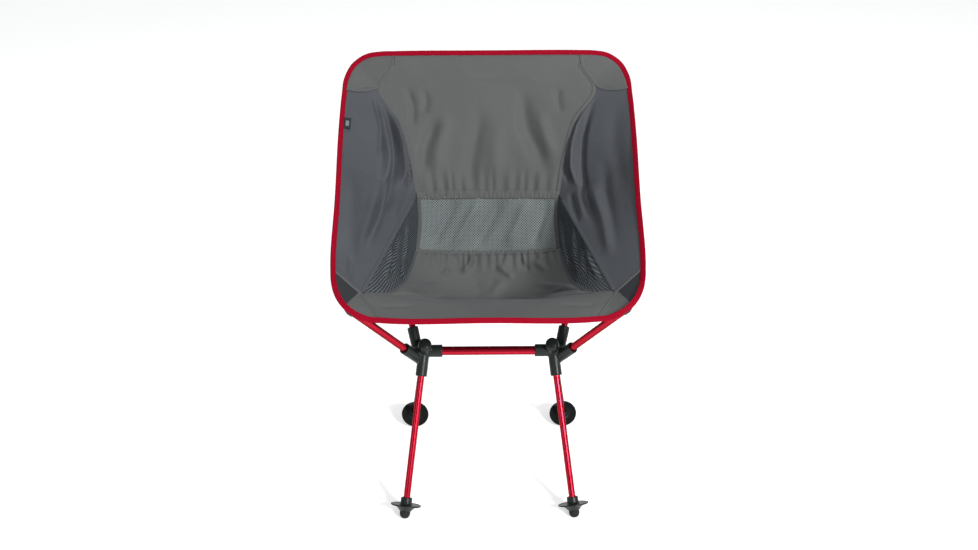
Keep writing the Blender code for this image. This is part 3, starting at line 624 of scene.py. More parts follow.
def declare(grid):
    """Works out the flat size a panel was cut to, and keeps none of it."""
    wide = max(runs(grid[i])[-1] for i in range(0, grid.shape[0], 4)) * MM
    long = max(runs(grid[:, j])[-1] for j in range(0, grid.shape[1], 4)) * MM
    area = grid_area(grid)
    if area > wide * long:
        wide = area / long
    area = None if area > 0.97 * wide * long else max(area, 0.301 * wide * long)


def panel(name, node, grid, finish, folds, waves, room, extra=None):
    """One sewn panel: its plain shape, then its folds, in place of its CAD sheet."""
    normal = toward_bucket(grid)
    seed, height = waves
    lift = fold_heights(grid, folds) * FOLD_DEPTH
    lift = lift + soft_waves(grid, seed, 7, 38.0, 95.0, height)
    lift = lift + soft_waves(grid, seed + 50, 5, 14.0, 26.0, height * FINE_WAVES)
    lift = lift * edge_room(grid, room)
    if extra is not None:
        lift = lift + extra
    shaped = grid + normal * lift[:, :, None]
    obj = cloth_mesh(name, shaped, normal, CLOTH_THICK, finish, cloth_coordinates(grid))
    sewn_on(obj, node)
    declare(shaped)
    return shaped, normal


def turned(grid, side):
    """The grid seen from one of its four edges: row 0 then lies on that edge."""
    if side == "end":
        return grid[::-1]
    if side == "left":
        return np.swapaxes(grid, 0, 1)
    if side == "right":
        return np.swapaxes(grid, 0, 1)[::-1]
    return grid


def band(name, grid, normal, side, start, end, finish, lift, pucker=None):
    """A narrow strip that lies on a panel from start to end millimetres inside one edge."""
    g, n = turned(grid, side), turned(normal, side)
    rows = np.zeros((BAND_ROWS, g.shape[1], 3))
    norms = np.zeros_like(rows)
    where = np.linspace(start, end, BAND_ROWS)
    for j in range(g.shape[1]):
        run = runs(g[:, j])
        for k in range(3):
            rows[:, j, k] = np.interp(where, run, g[:, j, k])
            norms[:, j, k] = np.interp(where, run, n[:, j, k])
        if start < 0:
            way = g[0, j] - g[1, j]
            way /= np.linalg.norm(way) + 1e-9
            outside = np.clip(-where, 0, None)[:, None]
            rows[:, j] += way * outside
    norms /= np.linalg.norm(norms, axis=2)[:, :, None]
    round_off = np.sin(np.pi * np.linspace(0.08, 0.92, BAND_ROWS)) ** 0.5
    height = np.repeat((lift * round_off)[:, None], g.shape[1], axis=1)
    if pucker is not None:
        height = height + pucker[None, :] * np.sin(np.pi * np.linspace(0, 1, BAND_ROWS))[:, None]
    rows = rows + norms * height[:, :, None]
    obj = cloth_mesh(name, rows, norms, BAND_THICK, finish)
    sewn_on(obj)
    if end - start > WIDE_BAND:
        declare(rows)
    return rows, norms


def stitches(name, lines, finish, pitch=3.2, length=2.2, radius=0.22):
    """Topstitching: short thread segments along lines of (points, normals)."""
    verts, faces = [], []
    for line, normal in lines:
        run = runs(line)
        count = int(run[-1] / pitch)
        for k in range(count):
            mid = (k + 0.5) * pitch
            ends = at_runs(line, [mid - length / 2, mid, mid + length / 2])
            up = np.array([np.interp(mid, run, normal[:, c]) for c in range(3)])
            up /= np.linalg.norm(up) + 1e-9
            along = ends[2] - ends[0]
            along /= np.linalg.norm(along) + 1e-9
            across = np.cross(along, up)
            base = len(verts)
            for end, raise_, fat in ((0, -0.12, 0.6), (1, 0.12, 1.0), (2, -0.12, 0.6)):
                for a, b in ((1, 0), (0, 1), (-1, 0), (0, -1)):
                    offset = across * a * radius * fat + up * (b * radius * fat + raise_)
                    verts.append(ends[end] + offset)
            for ring in (0, 4):
                for c in range(4):
                    m = (c + 1) % 4
                    faces.append((base + ring + c, base + ring + m, base + ring + 4 + m, base + ring + 4 + c))
            faces.append((base + 3, base + 2, base + 1, base))
            faces.append((base + 8, base + 9, base + 10, base + 11))
    obj = link(name, to_frame(verts), faces, finish)
    sewn_on(obj)


# ---------------------------------------------------------------- finishes

GREY = (0.081, 0.082, 0.080)
GREY_SHADE = (0.054, 0.058, 0.063)
CLOTH_GREY = ripstop("cloth_ripstop", GREY, GREY_SHADE)
# Painted shade: the same ripstop, coloured near black for the steep wing side of each front corner patch.
CLOTH_SHADED_CORNER = ripstop("cloth_ripstop_corner_painted_shade", (0.018, 0.020, 0.024), (0.011, 0.013, 0.016))
# Painted shade: the wings use the same ripstop as the back, coloured darker and bluer for their inward faces.
CLOTH_SHADED_WING = ripstop("cloth_ripstop_wing_painted_shade", (0.056, 0.060, 0.067), (0.037, 0.042, 0.052))
SEAM_GREY = tape("cloth_seam", (0.074, 0.078, 0.077), (0.048, 0.052, 0.055), 0.0012)
LUMBAR_MESH = open_mesh("cloth_mesh_diamond", (0.205, 0.232, 0.232), (0.115, 0.135, 0.137), 0.0032,
                        math.radians(45), 0.27)
# The side mesh's second colour, near black, is painted shade for the gaps between its rows.
SIDE_MESH = row_mesh("cloth_mesh_rows", (0.126, 0.145, 0.156), (0.011, 0.014, 0.018), 0.0030)
TAPE_RED = tape("tape_crimson", (0.262, 0.0006, 0.013), (0.16, 0.0004, 0.007), 0.0016, specular=0.06)
TAPE_BLACK = tape("tape_black", (0.020, 0.022, 0.026), (0.012, 0.013, 0.015), 0.0014)
LABEL_GREY = tape("tape_label", (0.16, 0.18, 0.20), (0.10, 0.11, 0.13), 0.0009)
THREAD_GREY = tape("thread_grey", (0.10, 0.104, 0.104), (0.07, 0.074, 0.078), 0.0008, uv=False)
THREAD_RED = tape("thread_red", (0.215, 0.001, 0.011), (0.145, 0.001, 0.008), 0.0008, uv=False, specular=0.06)
# The last colour of each tube finish is the edge tint, painted shade on the tube's grazing reflections.
TUBE_RED = anodised("tube_anodised", (0.44, 0.006, 0.025), (0.31, 0.004, 0.017), (0.06, 0.0, 0.0))
PLASTIC = moulded("plastic_grained", (0.0082, 0.0115, 0.0108), (0.005, 0.0075, 0.007), 0.40)
RUBBER = moulded("rubber_matte", (0.014, 0.016, 0.017), (0.010, 0.011, 0.012), 0.78, 700.0, 0.0003)
ELASTIC = braided("elastic_braid", (0.32, 0.32, 0.34), (0.12, 0.12, 0.13))
BARE = anodised("tube_bare", (0.62, 0.63, 0.65), (0.5, 0.51, 0.53), (0.7, 0.7, 0.7))

FINISHES = {"red_tube": TUBE_RED, "plastic": PLASTIC, "rubber_tip": RUBBER, "ferrule": BARE, "elastic": ELASTIC,
            "ripstop": CLOTH_GREY, "mesh": LUMBAR_MESH, "tape": TAPE_RED, "label": TAPE_BLACK}
for part in frame["record"]["subparts"]:
    node = frame["nodes"][part["node"]]
    for held_slot in node.material_slots:
        held_slot.material = FINISHES[part["material_slot"]]

# ---------------------------------------------------------------- camera, floor and light

camera = bpy.data.objects.new("camera", bpy.data.cameras.new("camera"))
camera.location = (0.0, -1.6494, 1.1694)
tilt = Matrix.Rotation(math.radians(63.13), 3, "X")
roll = Matrix.Rotation(math.radians(-0.35), 3, "Z")
camera.rotation_euler = (tilt @ roll).to_euler()
camera.data.shift_x = 0.0009
camera.data.lens = 39.56
camera.data.sensor_width = 36.0
bpy.context.scene.collection.objects.link(camera)
bpy.context.scene.camera = camera
bpy.context.scene.view_settings.view_transform = "Standard"

floor_finish = Nodes("floor_pale")
floor_tone = floor_finish.noise(floor_finish.place(uv=False), 3.0, 2.0)
floor_finish.set(Base_Color=floor_finish.mix(floor_tone, (0.88, 0.88, 0.88), (0.90, 0.90, 0.90)), Roughness=0.9)
floor_finish.set(Emission_Color=(1.0, 1.0, 1.0), Emission_Strength=0.52)
floor_corners = [(-40, -40, 0), (40, -40, 0), (40, 40, 0), (-40, 40, 0)]
floor = link("floor", floor_corners, [(0, 1, 2, 3)], floor_finish.material, False)

world = bpy.data.worlds.new("studio")
world.use_nodes = True
sky = world.node_tree
height = sky.nodes.new("ShaderNodeSeparateXYZ")
sky.links.new(sky.nodes.new("ShaderNodeTexCoord").outputs["Generated"], height.inputs[0])
rise = sky.nodes.new("ShaderNodeMapRange")
rise.inputs[1].default_value, rise.inputs[2].default_value = 0.1, 0.95
rise.inputs[3].default_value, rise.inputs[4].default_value = 0.30, 0.45
sky.links.new(height.outputs[2], rise.inputs[0])
sky.links.new(rise.outputs[0], sky.nodes["Background"].inputs[1])
sky.nodes["Background"].inputs[0].default_value = (0.97, 0.985, 1.0, 1.0)
bpy.context.scene.world = world


def lamp(name, place, aim, size, watts):
    data = bpy.data.lights.new(name, "AREA")
    data.shape = "DISK"
    data.size = size
    data.energy = watts
    obj = bpy.data.objects.new(name, data)
    obj.location = place
    obj.rotation_euler = (Vector(aim) - Vector(place)).to_track_quat("-Z", "Y").to_euler()
    bpy.context.scene.collection.objects.link(obj)


lamp("key", (1.7, -2.4, 1.7), (0, 0.1, 0.45), 0.6, 105)
lamp("fill", (-2.0, -2.2, 1.3), (0, 0.1, 0.4), 1.2, 9)
lamp("top", (0.2, 0.2, 3.2), (0, 0, 0.0), 1.8, 30)

SEAT_AXIS = ((121.0, -8.0, 230.5), (219.0, -92.0, 370.0))
BACK_AXIS = ((121.0, 8.0, 240.0), (236.0, 331.0, 630.0))

# ---------------------------------------------------------------- hubs, feet and tubes

HUB = np.array((108.5, 0.0, 239.0))
FOOT = np.array((142.0, 145.0, 0.0))
CROSSBAR_Z = 237.5
CROSSBAR_R = 7.4
CROSSBAR_HALF = 100.2
LEG_R = 5.5
SEAT_POLE_R = 6.2
BACK_POLE_R = 5.4
TUBE_WALL = 0.75
CAP_WALL = 1.5
TIP_R = 8.75
TIP_CENTRE = 8.84
LUGS = 9
LUG_ROW = 2.6
LUG_DEPTH = 0.55
HEART = (114.0, 0.0, 236.5)
HEART_R = 13.4
WEB_HALF = 1.6
VOXEL = 0.0007
MELT_ROUNDS = 5

# Each socket, along its axis: start, mouth, outer radius, bore radius, end of the bore, taper.
LEG_SOCKET = (-6.0, 44.0, 9.7, 5.9, 16.0, 0.3)
BAR_SOCKET = (-4.0, HUB[0] - 77.7, 10.6, 7.8, 8.0, 0.3)
SEAT_SOCKET = (-9.0, 36.0, 9.7, 6.6, 11.0, 0.7)
BACK_SOCKET = (-9.0, 35.0, 9.5, 5.8, 10.0, 0.7)


def unit(vector):
    return np.asarray(vector, float) / np.linalg.norm(vector)


def turned_about(way):
    """A turn that takes z onto way, as a 3 by 3 array."""
    return np.array(Vector(way).to_track_quat("Z", "Y").to_matrix())


def lathe(profile, start, way, sides, bend=None):
    """Vertices and faces of a closed profile (radius, height) spun about an axis, in millimetres."""
    profile = np.array(profile, float)
    closed = np.linalg.norm(profile[0] - profile[-1]) < 1e-6
    if closed:
        profile = profile[:-1]
    turns = np.linspace(0, 2 * np.pi, sides, endpoint=False)
    r = profile[:, 0][:, None] * np.ones(sides)
    z = profile[:, 1][:, None] * np.ones(sides)
    if bend is not None:
        r, z = bend(r, z, turns[None, :] * np.ones((len(profile), 1)))
    points = np.stack([r * np.cos(turns), r * np.sin(turns), z], axis=2).reshape(-1, 3)
    verts = points @ turned_about(way).T + np.asarray(start)
    count = len(profile)
    faces = ring_quads(count, sides, closed)
    if not closed:
        faces.append(tuple(range(sides))[::-1])
        faces.append(tuple((count - 1) * sides + c for c in range(sides)))
    return verts, faces


def rounded(profile, reach):
    """The profile with each of its inner corners cut by a small round."""
    out = [profile[0]]
    for before, corner, after in zip(profile[:-2], profile[1:-1], profile[2:]):
        corner = np.array(corner, float)
        a, b = np.array(before) - corner, np.array(after) - corner
        la, lb = np.linalg.norm(a), np.linalg.norm(b)
        cut = min(reach, la * 0.45, lb * 0.45)
        p, q = corner + a / la * cut, corner + b / lb * cut
        for t in (0.0, 0.33, 0.67, 1.0):
            out.append(tuple(p * (1 - t) ** 2 + corner * 2 * t * (1 - t) + q * t * t))
    out.append(profile[-1])
    return out


def gathered(name, pieces, finish, body, node):
    """One object made of several (vertices, faces) in millimetres."""
    verts, faces = [], []
    for points, polygons in pieces:
        base = len(verts)
        verts.extend(to_frame(points).tolist())
        faces.extend(tuple(base + k for k in polygon) for polygon in polygons)
    obj = link(name, verts, faces, finish)
    face_outwards(obj.data)
    obj.data.set_sharp_from_angle(angle=math.radians(40))
    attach(obj, body)
    if node:
        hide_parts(node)
    return obj


def melted(obj, voxel, rounds):
    """The object's overlapping solids run together, with moulded fillets where they meet."""
    remesh = obj.modifiers.new("remesh", "REMESH")
    remesh.mode = "VOXEL"
    remesh.voxel_size = voxel
    remesh.adaptivity = 0.0
    soften = obj.modifiers.new("soften", "SMOOTH")
    soften.factor = 0.5
    soften.iterations = rounds
    graph = bpy.context.evaluated_depsgraph_get()
    done = bpy.data.meshes.new_from_object(obj.evaluated_get(graph))
    obj.modifiers.clear()
    finish = obj.data.materials[0]
    obj.data = done
    done.materials.clear()
    done.materials.append(finish)
    done.shade_smooth()


def socket(start, way, low, mouth, outer, bore, depth, taper):
    """A barrel with an open bore and softly rounded lips."""
    profile = [(0.0, low), (outer - taper, low), (outer, mouth), (bore, mouth), (bore, depth), (0.0, depth)]
    return lathe(rounded(profile, 0.9), start, way, 48)


def hub_pieces(side):
    flip = np.array((side, 1.0, 1.0))
    core = HUB * flip
    front = unit((FOOT * (1, -1, 1) - HUB) * flip)
    rear = unit((FOOT - HUB) * flip)
    (seat_start, seat_way), (back_start, back_way) = (
        (np.array(start) * flip, unit((np.array(end) - start) * flip)) for start, end in (SEAT_AXIS, BACK_AXIS)
    )
    bar = np.array((HUB[0] * side, 0.0, CROSSBAR_Z))
    solids = [
        socket(core, front, *LEG_SOCKET),
        socket(core, rear, *LEG_SOCKET),
        socket(bar, (-side, 0.0, 0.0), *BAR_SOCKET),
        socket(seat_start, seat_way, *SEAT_SOCKET),
        socket(back_start, back_way, *BACK_SOCKET),
    ]
    dome = [(0.0, -25.0), (6.4, -24.2), (9.2, -22.6), (11.0, -20.0), (11.5, -17.0), (11.4, 9.0)]
    dome += [(9.7, 14.0), (0.0, 14.0)]
    solids.append(lathe(rounded(dome, 0.8), core, rear, 48))
    ball = [(HEART_R * math.sin(a), -HEART_R * math.cos(a)) for a in np.linspace(0, np.pi, 15)]
    ball = [(0.0, -HEART_R)] + ball[1:-1] + [(0.0, HEART_R)]
    solids.append(lathe(ball, np.array(HEART) * flip, (0, 0, 1), 36))
    corners = np.array([core + front * 8, core + front * 33, seat_start + seat_way * 25])
    flat = unit(np.cross(corners[1] - corners[0], corners[2] - corners[0]))
    plate = np.concatenate([corners + flat * WEB_HALF, corners - flat * WEB_HALF])
    solids.append((plate, [(0, 1, 2), (5, 4, 3), (0, 3, 4, 1), (1, 4, 5, 2), (2, 5, 3, 0)]))
    rim = [(8.6, -23.6), (9.6, -23.9), (10.4, -22.6), (11.0, -21.2), (9.6, -21.0), (8.6, -23.6)]
    cap = [(0.0, -24.6), (6.6, -24.4), (7.6, -23.9), (7.6, -22.0), (0.0, -22.0)]
    return solids, [lathe(rim, core, rear, 64), lathe(cap, core, rear, 64)]


def make_hubs():
    for side, word in SIDES:
        solids, trim = hub_pieces(side)
        hub = gathered("hub_moulding_" + word, solids, PLASTIC, "frame", "hub_" + word)
        melted(hub, VOXEL, MELT_ROUNDS)
        gathered("hub_cap_" + word, trim, PLASTIC, "frame", None)


def make_feet():
    for side, word in SIDES:
        for end, place in ((-1, "front"), (1, "rear")):
            name = place + "_" + word
            ground = FOOT * (side, end, 1)
            up = unit(HUB * (side, 1, 1) - ground)
            body = [
                (0.0, 10.3), (8.6, 12.3), (9.6, 13.2), (11.2, 14.8), (13.0, 16.8), (15.0, 18.8), (17.8, 20.4),
                (22.0, 21.2), (25.2, 21.5), (25.2, 23.9), (22.9, 23.9), (22.3, 23.3), (14.0, 23.6),
                (11.0, 24.2), (9.6, 26.2), (9.4, 35.0), (5.8, 35.0), (5.8, 26.0), (0.0, 26.0),
            ]
            gathered("foot_disc_" + name, [lathe(rounded(body, 0.8), ground, up, 72)], PLASTIC, "leg_" + name,
                     "foot_" + name)

            def tread(r, z, turn):
                rows = np.where(np.floor(z / LUG_ROW) % 2 > 0, 0.5, 0.0)
                lug = np.cos((turn / (2 * np.pi) * LUGS + rows) * 2 * np.pi)
                body_of = ease((r - 2.5) / 3.0)
                depth = np.where(z < 12.2, LUG_DEPTH, 0.0) * body_of
                return r - depth * ease(0.5 - lug * 1.4), z

            quarter = np.linspace(0, np.pi / 2, 26)
            arc = [(TIP_R * math.cos(a), TIP_CENTRE - TIP_R * math.sin(a)) for a in quarter]
            flat = [(r, max(z, 0.0)) for r, z in arc]
            tip = [(0.0, 12.7), (8.2, 12.7)] + [(TIP_R, z) for z in (12.2, 11.4, 10.6, 9.7)] + flat[:-1]
            verts, faces = lathe(tip + [(0.0, flat[-1][1])], ground, up, 108, tread)
            verts[:, 2] = np.maximum(verts[:, 2], 0.0)
            gathered("foot_tread_" + name, [(verts, faces)], RUBBER, "leg_" + name, "foot_tip_" + name)


def tube(name, node, body, start, way, outer, low, high):
    """A drawn tube with lightly chamfered ends."""
    inner = outer - TUBE_WALL
    profile = [(inner, low + 0.2), (inner + 0.2, low), (outer - 0.3, low), (outer, low + 0.3)]
    profile += [(outer, high - 0.3), (outer - 0.3, high), (inner + 0.2, high), (inner, high - 0.2)]
    profile.append(profile[0])
    gathered(name, [lathe(profile, start, way, 48)], TUBE_RED, body, node)


def nose(name, node, body, start, way, end, tube_r):
    """A moulded end cap over a pole's end."""
    bore, outer = tube_r + 0.3, tube_r + CAP_WALL
    centre = end - outer
    profile = [(0.0, end - 7.7), (bore, end - 7.7), (bore, end - 15.0)]
    profile += [(outer - 0.5, end - 15.0), (outer, end - 14.3)]
    profile += [(outer * math.cos(a), centre + outer * math.sin(a)) for a in np.linspace(0, np.pi / 2, 10)[:-1]]
    gathered(name, [lathe(profile + [(0.0, end)], start, way, 48)], PLASTIC, body, node)


def make_tubes():
    tube("crossbar_tube", "crossbar", "frame", (0.0, 0.0, CROSSBAR_Z), (1, 0, 0), CROSSBAR_R,
         -CROSSBAR_HALF, CROSSBAR_HALF)
    for side, word in SIDES:
        flip = np.array((side, 1.0, 1.0))
        for end, place in ((-1, "front"), (1, "rear")):
            name = place + "_" + word
            down = FOOT * (side, end, 1) - HUB * flip
            reach = np.linalg.norm(down) - 15.5
            tube("leg_" + name + "_tube", "leg_tube_" + name, "leg_" + name, HUB * flip, unit(down), LEG_R,
                 16.3, reach)
        for (start, tip), radius, low, part in (
            (SEAT_AXIS, SEAT_POLE_R, 11.3, "seat"),
            (BACK_AXIS, BACK_POLE_R, 10.3, "back"),
        ):
            way = (np.array(tip) - start) * flip
            length = np.linalg.norm(way)
            start = np.array(start) * flip
            high = length - 8.0
            if part == "seat":
                joins = [(low, high, "seat_pole_" + word)]
            else:
                middle = (low - 0.3 + high + 0.3) / 2
                joins = [(low, middle - 0.15, "back_pole_lower_" + word)]
                joins.append((middle + 0.15, high, "back_pole_upper_" + word))
            for near, far, node in joins:
                tube(node + "_tube", node, node, start, unit(way), radius, near, far)
            body = joins[-1][2]
            nose(part + "_cap_" + word, part + "_pole_cap_" + word, body, start, unit(way), length, radius)


make_hubs()
make_feet()
make_tubes()

# ---------------------------------------------------------------- sling

LINES = sling_lines()

SEAT_SIDE_FOLDS = [
    ([(0.36, 0.01), (0.58, 0.13), (0.73, 0.29)], 6.0, -2.1),
    ([(0.42, 0.02), (0.66, 0.10), (0.80, 0.22)], 6.0, 2.2),
    ([(0.10, 0.03), (0.13, 0.20)], 4.0, -1.0),
    ([(0.27, 0.02), (0.30, 0.12), (0.32, 0.28)], 2.8, -1.9),
    ([(0.30, 0.02), (0.36, 0.10), (0.42, 0.22)], 2.8, 1.9),
    ([(0.33, 0.015), (0.43, 0.07), (0.52, 0.15)], 3.0, -2.0),
    ([(0.38, 0.015), (0.50, 0.06), (0.62, 0.12)], 3.2, 1.8),
]
SEAT_FOLDS = [
    ([(0.90, 0.24), (0.81, 0.19)], 5.0, 2.0),
    ([(0.99, 0.41), (0.90, 0.35), (0.85, 0.33)], 5.0, 2.4),
    ([(0.93, 0.55), (0.84, 0.68)], 5.5, 2.4),
    ([(0.94, 0.80), (0.82, 0.90)], 5.0, 2.0),
    ([(0.98, 0.62), (0.88, 0.60)], 4.5, 1.8),
    ([(0.98, 0.29), (0.87, 0.30)], 4.5, -1.6),
    ([(0.97, 0.70), (0.86, 0.78)], 4.5, -1.6),
    ([(0.30, 0.02), (0.50, 0.20), (0.62, 0.40)], 7.0, 2.3),
    ([(0.30, 0.98), (0.50, 0.80), (0.62, 0.62)], 7.0, 2.3),
    ([(0.86, 0.61), (0.73, 0.51)], 9.0, 1.6),
    ([(0.86, 0.40), (0.72, 0.46)], 10.0, -1.2),
    ([(0.235, 0.02), (0.25, 0.5), (0.235, 0.98)], 11.0, -1.9),
    ([(0.31, 0.03), (0.335, 0.5), (0.31, 0.97)], 10.0, -2.2),
]
SEAT_FOLDS += SEAT_SIDE_FOLDS
SEAT_FOLDS += [([(t, 1 - s) for t, s in points], wide, high) for points, wide, high in SEAT_SIDE_FOLDS]
BACK_FOLDS = [
    ([(0.56, 0.24), (0.35, 0.12), (0.12, 0.06)], 11.0, -3.2),
    ([(0.60, 0.30), (0.35, 0.20), (0.10, 0.15)], 12.0, 2.0),
    ([(0.62, 0.48), (0.35, 0.42), (0.03, 0.36)], 12.0, -2.8),
    ([(0.55, 0.56), (0.30, 0.55), (0.05, 0.56)], 14.0, 1.8),
    ([(0.76, 0.67), (0.50, 0.72), (0.28, 0.83), (0.10, 0.92)], 13.0, -4.2),
    ([(0.62, 0.76), (0.40, 0.86), (0.25, 0.93)], 11.0, 2.4),
    ([(0.78, 0.12), (0.62, 0.12), (0.47, 0.06)], 6.0, -2.0),
    ([(0.76, 0.20), (0.66, 0.20), (0.56, 0.14)], 6.5, -1.7),
    ([(0.77, 0.83), (0.66, 0.85), (0.56, 0.91)], 6.5, -2.0),
    ([(0.79, 0.10), (0.83, 0.40), (0.83, 0.60), (0.79, 0.90)], 9.0, 1.0),
]
LEFT_WING_FOLDS = [
    ([(0.02, 0.16), (0.20, 0.36), (0.34, 0.46)], 5.0, -3.0),
    ([(0.01, 0.02), (0.16, 0.16), (0.36, 0.25), (0.66, 0.27)], 7.0, -5.4),
    ([(0.04, 0.01), (0.18, 0.08), (0.34, 0.12), (0.60, 0.12)], 4.5, 5.1),
    ([(0.10, 0.26), (0.32, 0.35), (0.55, 0.38), (0.85, 0.36)], 8.0, 6.3),
    ([(0.24, 0.03), (0.36, 0.04), (0.60, 0.06)], 4.0, -3.0),
    ([(0.44, 0.44), (0.64, 0.46), (0.90, 0.37)], 11.0, -2.6),
    ([(0.42, 0.84), (0.64, 0.80), (0.90, 0.62)], 16.0, 3.0),
    ([(0.86, 0.62), (0.93, 0.50), (0.99, 0.40)], 5.0, -1.5),
]
RIGHT_WING_FOLDS = [
    ([(0.05, 0.03), (0.14, 0.07), (0.26, 0.10)], 5.0, -2.4),
    ([(0.02, 0.02), (0.18, 0.08), (0.34, 0.16), (0.62, 0.14)], 5.0, 5.7),
    ([(0.03, 0.05), (0.20, 0.20), (0.42, 0.32), (0.70, 0.28)], 7.0, -5.0),
    ([(0.22, 0.02), (0.34, 0.05), (0.56, 0.05)], 4.0, -3.0),
    ([(0.42, 0.14), (0.50, 0.10), (0.62, 0.04)], 5.0, -2.4),
    ([(0.42, 0.40), (0.60, 0.44), (0.86, 0.28)], 10.0, 3.9),
    ([(0.30, 0.52), (0.50, 0.56), (0.84, 0.36)], 12.0, -2.4),
    ([(0.04, 0.67), (0.30, 0.72), (0.60, 0.78)], 16.0, -1.6),
]
LEFT_GUSSET_FOLDS = [
    ([(0.36, 0.95), (0.50, 0.70), (0.70, 0.40)], 5.0, -2.6),
    ([(0.20, 0.90), (0.34, 0.55), (0.54, 0.20)], 5.0, 2.6),
    ([(0.50, 0.90), (0.64, 0.70), (0.78, 0.48)], 5.0, 2.2),
    ([(0.42, 0.45), (0.55, 0.20), (0.62, 0.06)], 4.5, -2.0),
]
RIGHT_GUSSET_FOLDS = [
    ([(0.10, 0.40), (0.28, 0.24), (0.50, 0.10)], 5.0, -2.6),
    ([(0.28, 0.95), (0.46, 0.55), (0.64, 0.18)], 5.0, 2.8),
    ([(0.42, 0.96), (0.56, 0.66), (0.72, 0.36)], 5.0, -2.4),
    ([(0.54, 0.92), (0.70, 0.80), (0.86, 0.68)], 5.0, 2.0),
]

seams = []


def sewn_band(name, grid, normal, side, start, end, finish, lift, stitched=(1, -2), pucker=None):
    """A seam tape, with a line of stitches on each of the given rows."""
    rows, norms = band(name, grid, normal, side, start, end, finish, lift, pucker)
    seams.extend((rows[k], norms[k]) for k in stitched)


def puckered(grid, side, seed, pitch, height, near, far):
    """Gathers beside one edge of a panel: nothing on the edge itself, most at near, gone by far."""
    g = turned(grid, side)
    along = runs(g[0])
    wave = gathers(along, seed, pitch)
    total = np.zeros(g.shape[:2])
    for j in range(g.shape[1]):
        run = runs(g[:, j])
        shape = ease(run / near) * (1 - ease((run - near) / (far - near)))
        total[:, j] = height * wave[j] * shape
    column = np.arange(g.shape[1])
    total *= ease(np.minimum(column, column[::-1]) / 9.0)
    return total[::-1] if side == "end" else total


seat_plain = strip_grid(SEAT_STATIONS, 132, 120)
seat_gathers = puckered(seat_plain, "end", 11, 15.0, 2.4, 7.0, 46.0)
seat, seat_n = panel("sling_seat", "seat_panel", seat_plain, CLOTH_GREY, SEAT_FOLDS,
                     (3, 0.35), 9.0, seat_gathers)
mesh_plain = strip_grid(MESH_STATIONS, 34, 90)
lumbar, lumbar_n = panel("sling_lumbar_mesh", "lumbar_mesh_panel", mesh_plain, LUMBAR_MESH,
                         [([(1.0, 0.30), (0.0, 0.10)], 9.0, -3.4), ([(1.0, 0.46), (0.0, 0.24)], 8.0, 3.2),
                          ([(1.0, 0.62), (0.0, 0.40)], 10.0, -3.2), ([(1.0, 0.80), (0.0, 0.62)], 10.0, 3.4),
                          ([(1.0, 0.94), (0.0, 0.80)], 8.0, -3.2)], (5, 0.4), 9.0)
back_plain = strip_grid(BACK_STATIONS, 110, 110)
back_gathers = puckered(back_plain, "start", 21, 17.0, 2.2, 12.0, 60.0)
back, back_n = panel("sling_back", "back_panel", back_plain, CLOTH_GREY, BACK_FOLDS,
                     (7, 0.35), 12.0, back_gathers)

# Seam tapes between the middle panels, gathered where the cloth is eased onto them.
for grid, normal, side, start, end, seed, height, name in (
    (back, back_n, "start", -7.0, 9.0, 31, 1.5, "seam_lumbar_top"),
    (seat, seat_n, "end", -4.5, 6.0, 32, 1.2, "seam_lumbar_low"),
):
    wave = gathers(runs(turned(grid, side)[0]), seed, 6.5) * height
    sewn_band(name, grid, normal, side, start, end, CLOTH_GREY, 0.9, pucker=wave)
for side in ("left", "right"):
    sewn_band("seam_lumbar_side_" + side, lumbar, lumbar_n, side, 0.0, 7.0, SEAM_GREY, 0.8)
    sewn_band("seam_back_side_" + side, back[:-9], back_n[:-9], side, -2.0, 6.0, CLOTH_GREY, 0.9)
    sewn_band("seam_seat_side_" + side, seat[44:], seat_n[44:], side, -1.0, 4.0, CLOTH_SHADED_WING, 0.9, (2,))


def slanted(grid, share, far_share):
    """Slides the rows along, so that the row at share meets the far edge at far_share."""
    even = np.linspace(0, 1, len(grid))
    result = grid.copy()
    for j, bound in enumerate(np.linspace(share, far_share, grid.shape[1])):
        at = np.interp(even, (0, share, 1), (0, bound, 1))
        for k in range(3):
            result[:, j, k] = np.interp(at, even, grid[:, j, k])
    return result


def split_painted_shade(obj, shape, share, second):
    """The rows past the given share take the second finish; the rows before it keep the first, painted darker
    as shade.
    """
    rows, columns = shape[0] - 1, shape[1] - 1
    obj.data.materials.append(second)
    for face in obj.data.polygons[: 2 * rows * columns]:
        face.material_index = int((face.index % (rows * columns)) // columns >= share * rows)


def flipped(grid, side):
    return grid * (side, 1, 1)


